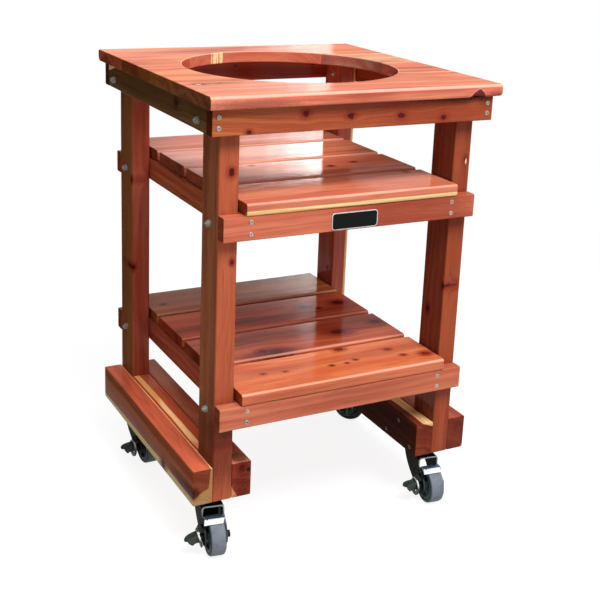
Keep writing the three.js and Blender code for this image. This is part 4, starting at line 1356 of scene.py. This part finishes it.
def slab(outline, low, high, axis, ease=0.5):
    # An outline carried straight along an axis, drawn in a little at both faces
    outline = np.array(outline, float)
    steps = np.roll(outline, -1, 0) - np.roll(outline, 1, 0)
    inward = np.column_stack([-steps[:, 1], steps[:, 0]]) / np.linalg.norm(steps, axis=1, keepdims=True)
    slight = ease * 0.3
    levels = (low, low + slight, low + ease, high - ease, high - slight, high)
    rings = []
    for level, inset in zip(levels, (ease, slight, 0, 0, slight, ease)):
        rings.append(np.insert(outline + inward * inset, "xyz".index(axis), level, axis=1))
    return skin(closedEnds(np.array(rings)))


def softened(corners, radius, steps=4):
    # A counterclockwise polygon whose corners are short curves and whose sides carry extra points
    corners = np.array(corners, float)
    points = []
    for index, corner in enumerate(corners):
        before, after = corners[index - 1], corners[(index + 1) % len(corners)]
        start = corner + (before - corner) / np.linalg.norm(before - corner) * radius
        end = corner + (after - corner) / np.linalg.norm(after - corner) * radius
        points.append(curve(start, corner, end, steps + 1))
        straight = 1 - radius / np.linalg.norm(after - end)
        points.append(end + (after - end) * np.array([[0.2], [0.5], [0.8]]) * straight)
    return np.vstack(points)


fork = {
    "legX": 20.5,
    "crownZ": 89.5,
    "bend": 5.5,
    "sheet": 3.0,
    "bossRadius": 17.0,
    "rearEdge": ((-40, 23.2), (16, 45.5), (32, 81)),    # start, pull and end of the curve, y and z
    "frontEdge": ((-67, 37), (-61.9, 59.95), (-35.7, 72.4)),
    "rearCrown": (32.0, 91),    # y of the crown's edge, and the height from which it runs straight
    "frontCrown": (-36.5, 84),
    "bareAndHighlitEdge": (70, 14),    # bare steel and a painted highlight show along the crown's edge: from this height, over this much
    "race": [(12, 90.6), (26.4, 90.8), (27, 91.4), (26.9, 92.4), (25.6, 97), (25.3, 98), (24.4, 101.4),
             (23.8, 102.2), (12, 102.2)],    # radius and height about the king pin
    "pinHead": [(5, 88.5), (9, 88.4), (9, 86.6), (8.4, 85.4), (6.6, 84.5), (3, 84.2)],
    "washer": [(5, 21.8), (8.6, 21.8), (9, 22.2), (9, 23.1), (8.6, 23.5), (5, 23.5)],    # about the axle
    "nut": (13, 23.4, 29),    # across its flats, from, to
    "thread": (4.0, 0.5, 28, 31.2, 9),
    "axle": [(3.9, -22), (3.9, 22)],
    "earRadius": 4,
    "earX": (-24.5, -21),
    "ears": (6.9, -9.4),    # where each ear of the lever's hinge starts along it
    "earSheet": 2.5,
}


def forkShells():
    # One sheet bent up over the crown and down both legs, whose edges follow two curves
    bend, legX, crownZ, boss = (fork[key] for key in ("bend", "legX", "crownZ", "bossRadius"))
    _, y0, z0 = axle
    arc = z0 - boss * np.cos(np.linspace(0.04, math.pi / 2, 14))
    leg = np.concatenate([arc, np.linspace(z0, crownZ - bend, 22)[1:]])
    angles = np.linspace(math.pi, math.pi / 2, 8)[1:]
    corner = np.column_stack([bend - legX + bend * np.cos(angles), crownZ - bend + bend * np.sin(angles)])
    half = np.vstack([np.column_stack([np.full(len(leg), -legX), leg]), corner, [[-legX / 3, crownZ]]])
    line = np.vstack([half, half[::-1] * (-1, 1)])
    height = line[:, 1]
    boss = np.sqrt(np.maximum(boss ** 2 - (height - z0) ** 2, 0))
    edges = []
    for side, key in ((-1, "front"), (1, "rear")):
        y, z = curve(*fork[key + "Edge"]).T
        crownY, crownTop = fork[key + "Crown"]
        above = np.interp(height, [*z, crownTop], [*y, crownY])
        edges.append(np.where(height < z[0], y0 + side * boss, above))
    path = np.column_stack([line[:, 0], np.zeros(len(line)), height])
    points, faces, bareAndHighlit = bentSheet(path, *edges, fork["sheet"], rearward, 0.9, 10)
    # Bare steel and a painted highlight along the sheet's edges, fading down the legs
    low, over = fork["bareAndHighlitEdge"]
    shells = [(points, faces, bareAndHighlit * np.clip((points[:, 2] - low) / over, 0.06, 1))]
    shells.append(lathed(fork["race"], pin, up, 64))
    shells.append(lathed(fork["pinHead"], pin, up, 40))
    for way in (left, right):
        shells.append(lathed(fork["washer"], (0, y0, z0), way, 40))
        shells.append(hexagon(*fork["nut"], (0, y0, z0), way))
    shells.append(lathed([(2.5, 28), *ridged(*fork["thread"]), (3.2, 31.9)], (0, y0, z0), left, 24))
    shells.append(lathed(fork["axle"], (0, y0, z0), right, 24))
    hingeX, hingeY, hingeZ = hinge
    radius, (near, far) = fork["earRadius"], fork["earX"]
    turn = np.linspace(math.pi / 2, 1.5 * math.pi, 12)
    ear = [(hingeX + radius * math.cos(t), hingeZ + radius * math.sin(t)) for t in turn]
    low, high = hingeZ - radius, hingeZ + radius
    ear += [(near, low), (far, low), (far, hingeZ), (far, high), (near, high)]
    for start in fork["ears"]:
        shells.append(slab(ear, hingeY + start, hingeY + start + fork["earSheet"], "y", 0.4))
    return shells


strap = {
    "radius": 39.5,
    "crease": 6.5,    # degrees about the axle, where the flat ends and the arc starts
    "front": 29,
    "rearY": -46,
    "left": (-21, -4),    # place of each edge, and how far it moves towards the front
    "right": (18.5, -7),
    "sheet": 2.0,
    "paintedReflectionPast": (2.5, 1.5),    # the arc is painted near white as a painted reflection: from how far past the crease, over how much
    "flangeRadii": (39.2, 25.8),
    "flangeAngles": (-5, 12),
    "flanges": (-18.7, 17.2),    # where each flange starts across the wheel
    "flangeSheet": 1.5,
    "rivet": (-16.5, 40.4, 0.22),    # x, radius and angle about the axle
}


def aroundAxle(radius, angle):
    return axle[1] - radius * math.sin(angle), axle[2] + radius * math.cos(angle)


def strapShells():
    # Flat at its rear, then an arc over the tread, skewed towards the lever
    crease, front = (math.radians(strap[key]) for key in ("crease", "front"))
    creaseY, flatZ = aroundAxle(strap["radius"], crease)
    line = [(y, flatZ) for y in np.linspace(strap["rearY"], creaseY, 6)[:-1]]
    line = np.array(line + [aroundAxle(strap["radius"], t) for t in np.linspace(crease, front, 16)])
    share = np.clip((creaseY - line[:, 0]) / (creaseY - line[-1, 0]), 0, 1)
    path = np.column_stack([np.zeros(len(line)), line])
    edges = [place + move * share for place, move in (strap["left"], strap["right"])]
    points, faces, _ = bentSheet(path, *edges, strap["sheet"], right, 0.7, 10)
    # The arc is marked for its painted reflection
    past, over = strap["paintedReflectionPast"]
    shells = [(points, faces, np.clip((creaseY - past - points[:, 1]) / over, 0, 1))]
    angles = np.radians(np.linspace(*strap["flangeAngles"], 8))
    outer, inner = strap["flangeRadii"]
    flange = [aroundAxle(outer, t) for t in angles] + [aroundAxle(inner, t) for t in angles[::-1]]
    for low in strap["flanges"]:
        shells.append(slab(flange, low, low + strap["flangeSheet"], "x", 0.35))
    x, radius, angle = strap["rivet"]
    way = (0, -math.sin(angle), math.cos(angle))
    shells.append(lathed([(1.5, -0.6), *dome(1.7, 0.9, 6)], (x, *aroundAxle(radius, angle)), way, 20))
    return shells


lever = {
    "discX": -34.25,
    "discRadii": (10, 10.5, 12, 16, 17.4, 18),
    "discHalves": (1.2, 1.75, 1.75, 1.75, 1.75, 1.2),    # half its thickness at each of these radii
    "lug": ((-6.5, 50), (6.5, 50), (6.5, 57), (-6.5, 57)),    # y from the axle, and z
    "lugX": (-35, -32.5),
    "knuckle": [(3.6, -6.5), (4.2, -5.9), (4.2, 5.9), (3.6, 6.5)],
    "hingePin": [(1.7, -9.6), (2, -9.3), (2, 9.3), (1.7, 9.6)],
    "startX": -33.6,
    "reach": 27.8,
    "tread": (47.75, 2.5, 4.0),    # height at the start, fall along the tread and dip at its tip
    "halfWidth": 9.5,
    "sheet": 2.4,
    "side": [(-33.6, 33.5), (-33.6, 48), (-57, 44), (-56, 38.5), (-50, 31.2), (-44, 34)],    # x, z
    "sides": (-8.5, 8.5),
    "sideHalf": 0.9,
}


def leverShells():
    # A disc beside the wheel, a knuckle on the hinge and a tread whose width falls off as a cube
    _, y0, z0 = axle
    radii, halves = lever["discRadii"], lever["discHalves"]
    disc = [(r, -h) for r, h in zip(radii, halves)] + [(r, h) for r, h in zip(radii[::-1], halves[::-1])]
    points, faces = lathed(disc, (lever["discX"], y0, z0), right, 64, False)
    # Painted highlight along the disc's upper rim
    rim = np.hypot(points[:, 1] - y0, points[:, 2] - z0) > 17.2
    shells = [(points, faces, rim * np.clip((points[:, 2] - z0) / 7 - 0.4, 0, 1))]
    shells.append(slab(softened([(y0 + y, z) for y, z in lever["lug"]], 1.6), *lever["lugX"], "x", 0.5))
    shells.append(lathed(lever["knuckle"], hinge, rearward, 32))
    shells.append(lathed(lever["hingePin"], hinge, rearward, 24))
    share = np.concatenate([np.linspace(0, 0.55, 9)[:-1], 1 - 0.45 * (1 - np.linspace(0, 0.99, 20)) ** 2])
    height, fall, dip = lever["tread"]
    x = lever["startX"] - lever["reach"] * share
    z = height - fall * share - dip * share ** 4
    wide = lever["halfWidth"] * np.sqrt(1 - np.clip((share - 0.55) / 0.45, 0, 1) ** 3 + 1e-4)
    path = np.column_stack([x, np.full(len(x), y0), z])
    shells.append(bentSheet(path, y0 - wide, y0 + wide, lever["sheet"], rearward, 1.0, 8)[:2])
    for y in lever["sides"]:
        ends = (y0 + y - lever["sideHalf"], y0 + y + lever["sideHalf"])
        shells.append(slab(softened(lever["side"], 1.2), *ends, "y", 0.35))
    return shells


tyre = {
    "radius": 37.0,
    "half": 15.3,
    "shoulder": 5.0,
    "crown": (0.12, 9.0),    # how far the tread falls away, and over what distance from its middle
    "inside": [(30.4, 14.9), (29.5, 13.8), (29.3, 12.0)],
    "darkAndShadedSide": (12.8, 1.2),    # sidewalls darker than the tread, partly painted shade: from this distance, over this much
}


def tyreShells():
    # A band with rounded shoulders and a slight crown, worn a little flatter towards its edges
    radius, half, soft = tyre["radius"], tyre["half"], tyre["shoulder"]
    fall, reach = tyre["crown"]
    turn = np.linspace(0, math.pi / 2, 9)
    middle = radius - soft, -half + soft
    shoulder = [(middle[0] + (soft - fall) * math.sin(t), middle[1] - soft * math.cos(t)) for t in turn]
    across = [(radius - fall * (h / reach) ** 2, h) for h in np.linspace(-reach, reach, 9)]
    inside = tyre["inside"] + [(r, -h) for r, h in tyre["inside"][::-1]]
    loop = shoulder + across + [(r, -h) for r, h in shoulder[::-1]] + inside
    # Sidewalls darker than the tread, partly painted shade
    start, over = tyre["darkAndShadedSide"]
    side = np.repeat([float(np.clip((abs(h) - start) / over, 0, 1)) for r, h in loop], 96)
    return [(*lathed(loop, axle, right, 96, False), side)]


hub = {
    "profile": [    # radius, place along the axle, and whether the ribs raise it, from boss to rim
        (3.9, -15.3, 0), (8.8, -15.3, 0), (9.6, -14.6, 0), (10, -13, 0), (10.6, -8, 1), (12, -7.6, 1),
        (16, -7.4, 1), (20, -7.4, 1), (22.6, -7.7, 1), (23.8, -8.8, 1), (24.6, -12.6, 0), (25.2, -13.9, 0),
        (26.2, -14.5, 0), (28.4, -14.5, 0), (29.1, -13.9, 0), (29.2, -12, 0)],
    "ribs": 6,
    "ribRise": 3.6,
    "ribShape": (0.80, 0.14),    # a rib starts where the cosine passes this, and is full after this much more
}


def hubShells():
    # A turned rim, web and boss, the web raised into six ribs where cos 6a comes near one
    half = hub["profile"]
    profile = np.array(half + [(r, -h, -share) for r, h, share in half[::-1]])
    angles = np.linspace(0, 2 * math.pi, 120, endpoint=False)
    start, over = hub["ribShape"]
    rib = np.clip((np.cos(hub["ribs"] * angles) - start) / over, 0, 1)
    height = profile[:, 1:2] - profile[:, 2:] * hub["ribRise"] * rib
    radius = profile[:, :1]
    rings = np.stack([height, radius * np.cos(angles), radius * np.sin(angles)], 2) + axle
    return [skin(rings)]


mount = {
    "z": 112.0,
    "thickness": 3,
    "corner": 9.0,
    "cup": [(12, 103), (24.4, 103), (25, 103.6), (25.6, 105), (27.8, 109.5), (28.6, 111), (30, 112.1),
            (12, 112.2)],    # radius and height about the king pin
    "screws": (21, 34),    # x and y of the screws' places
    "head": (10, 0, 4.2),    # across its flats, from, to
    "washer": [(5, -0.2), (7.8, -0.2), (8.2, 0.3), (8, 1.2), (5, 1.3)],
}


def plateShells(node):
    low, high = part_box(node)
    wide, deep = ((high[i] - low[i]) / 2 / mm for i in (0, 1))
    plate = roundedProfile(wide, deep, [mount["corner"]] * 4, 8, 6)
    base = mount["z"]
    return [slab(plate, base, base + mount["thickness"], "z", 0.5), lathed(mount["cup"], pin, up, 64)]


def mountScrewShells():
    wide, deep = mount["screws"]
    places = [(x, y, mount["z"]) for x in (-wide, wide) for y in (-deep, deep)]
    heads = [hexagon(*mount["head"], place, down) for place in places]
    return heads + [lathed(mount["washer"], place, down, 32) for place in places]


leaf = {    # the lock's leaf behind the wheel, which stands up in the fork while the brake is on
    "outline": [(-16.5, 52), (16.5, 52), (16.5, 85.5), (-16.5, 85.5)],
    "y": (-12.8, -11.6),
}


def leafShells():
    return [slab(softened(leaf["outline"], 2.0), *leaf["y"], "y", 0.4)]


def placed(shells, x, y, turn=0.0, press=0.0):
    # Pressed about the lever's hinge, turned about the king pin, set in place and made metres
    tip = np.array(Matrix.Rotation(math.radians(-press), 3, "Y"))
    swivel = np.array(Matrix.Rotation(math.radians(turn), 3, "Z"))
    moved = []
    for points, faces, *shares in shells:
        if press:
            points = (points - hinge) @ tip.T + hinge
        moved.append(((points @ swivel.T + (x, y, 0)) * mm, faces, *shares))
    return moved


casterPieces = {    # shells, finish, body, node and slot of what turns with the fork, the wheel or the lever
    "fork": (forkShells(), "blackSteel", "swivel", "fork", "black_steel"),
    "lock_leaf": (leafShells(), "blackSteel", "swivel", None, "black_steel"),
    "strap": (strapShells(), "strap", "swivel", "strap", "bright_steel"),
    "lever": (leverShells(), "leverSteel", "lever", "lever", "black_steel"),
    "tyre": (tyreShells(), "tread", "wheel", "tyre", "grey_rubber"),
    "hub": (hubShells(), "hub", "wheel", "hub", "dark_plastic"),
}


def addCasters():
    for name, (x, y, turn, press) in casters.items():
        for part, (shells, look, body, node, slot) in casterPieces.items():
            if part == "lock_leaf" and not press:
                continue
            shells = placed(shells, x, y, turn, press if part == "lever" else 0.0)
            nodes = [f"caster_{name}_{node}"] if node else []
            newPiece(f"{part}_{name}", shells, finish[look], f"{body}_{name}", nodes)
        plateNode = f"caster_{name}_plate"
        plate = placed(plateShells(plateNode), x, y)
        newPiece("mount_" + name, plate, finish["blackSteel"], "table", [plateNode])
        screws = placed(mountScrewShells(), x, y)
        newPiece("mount_screws_" + name, screws, finish["zinc"], "table")


addCasters()
print("casters made:", len(casters))
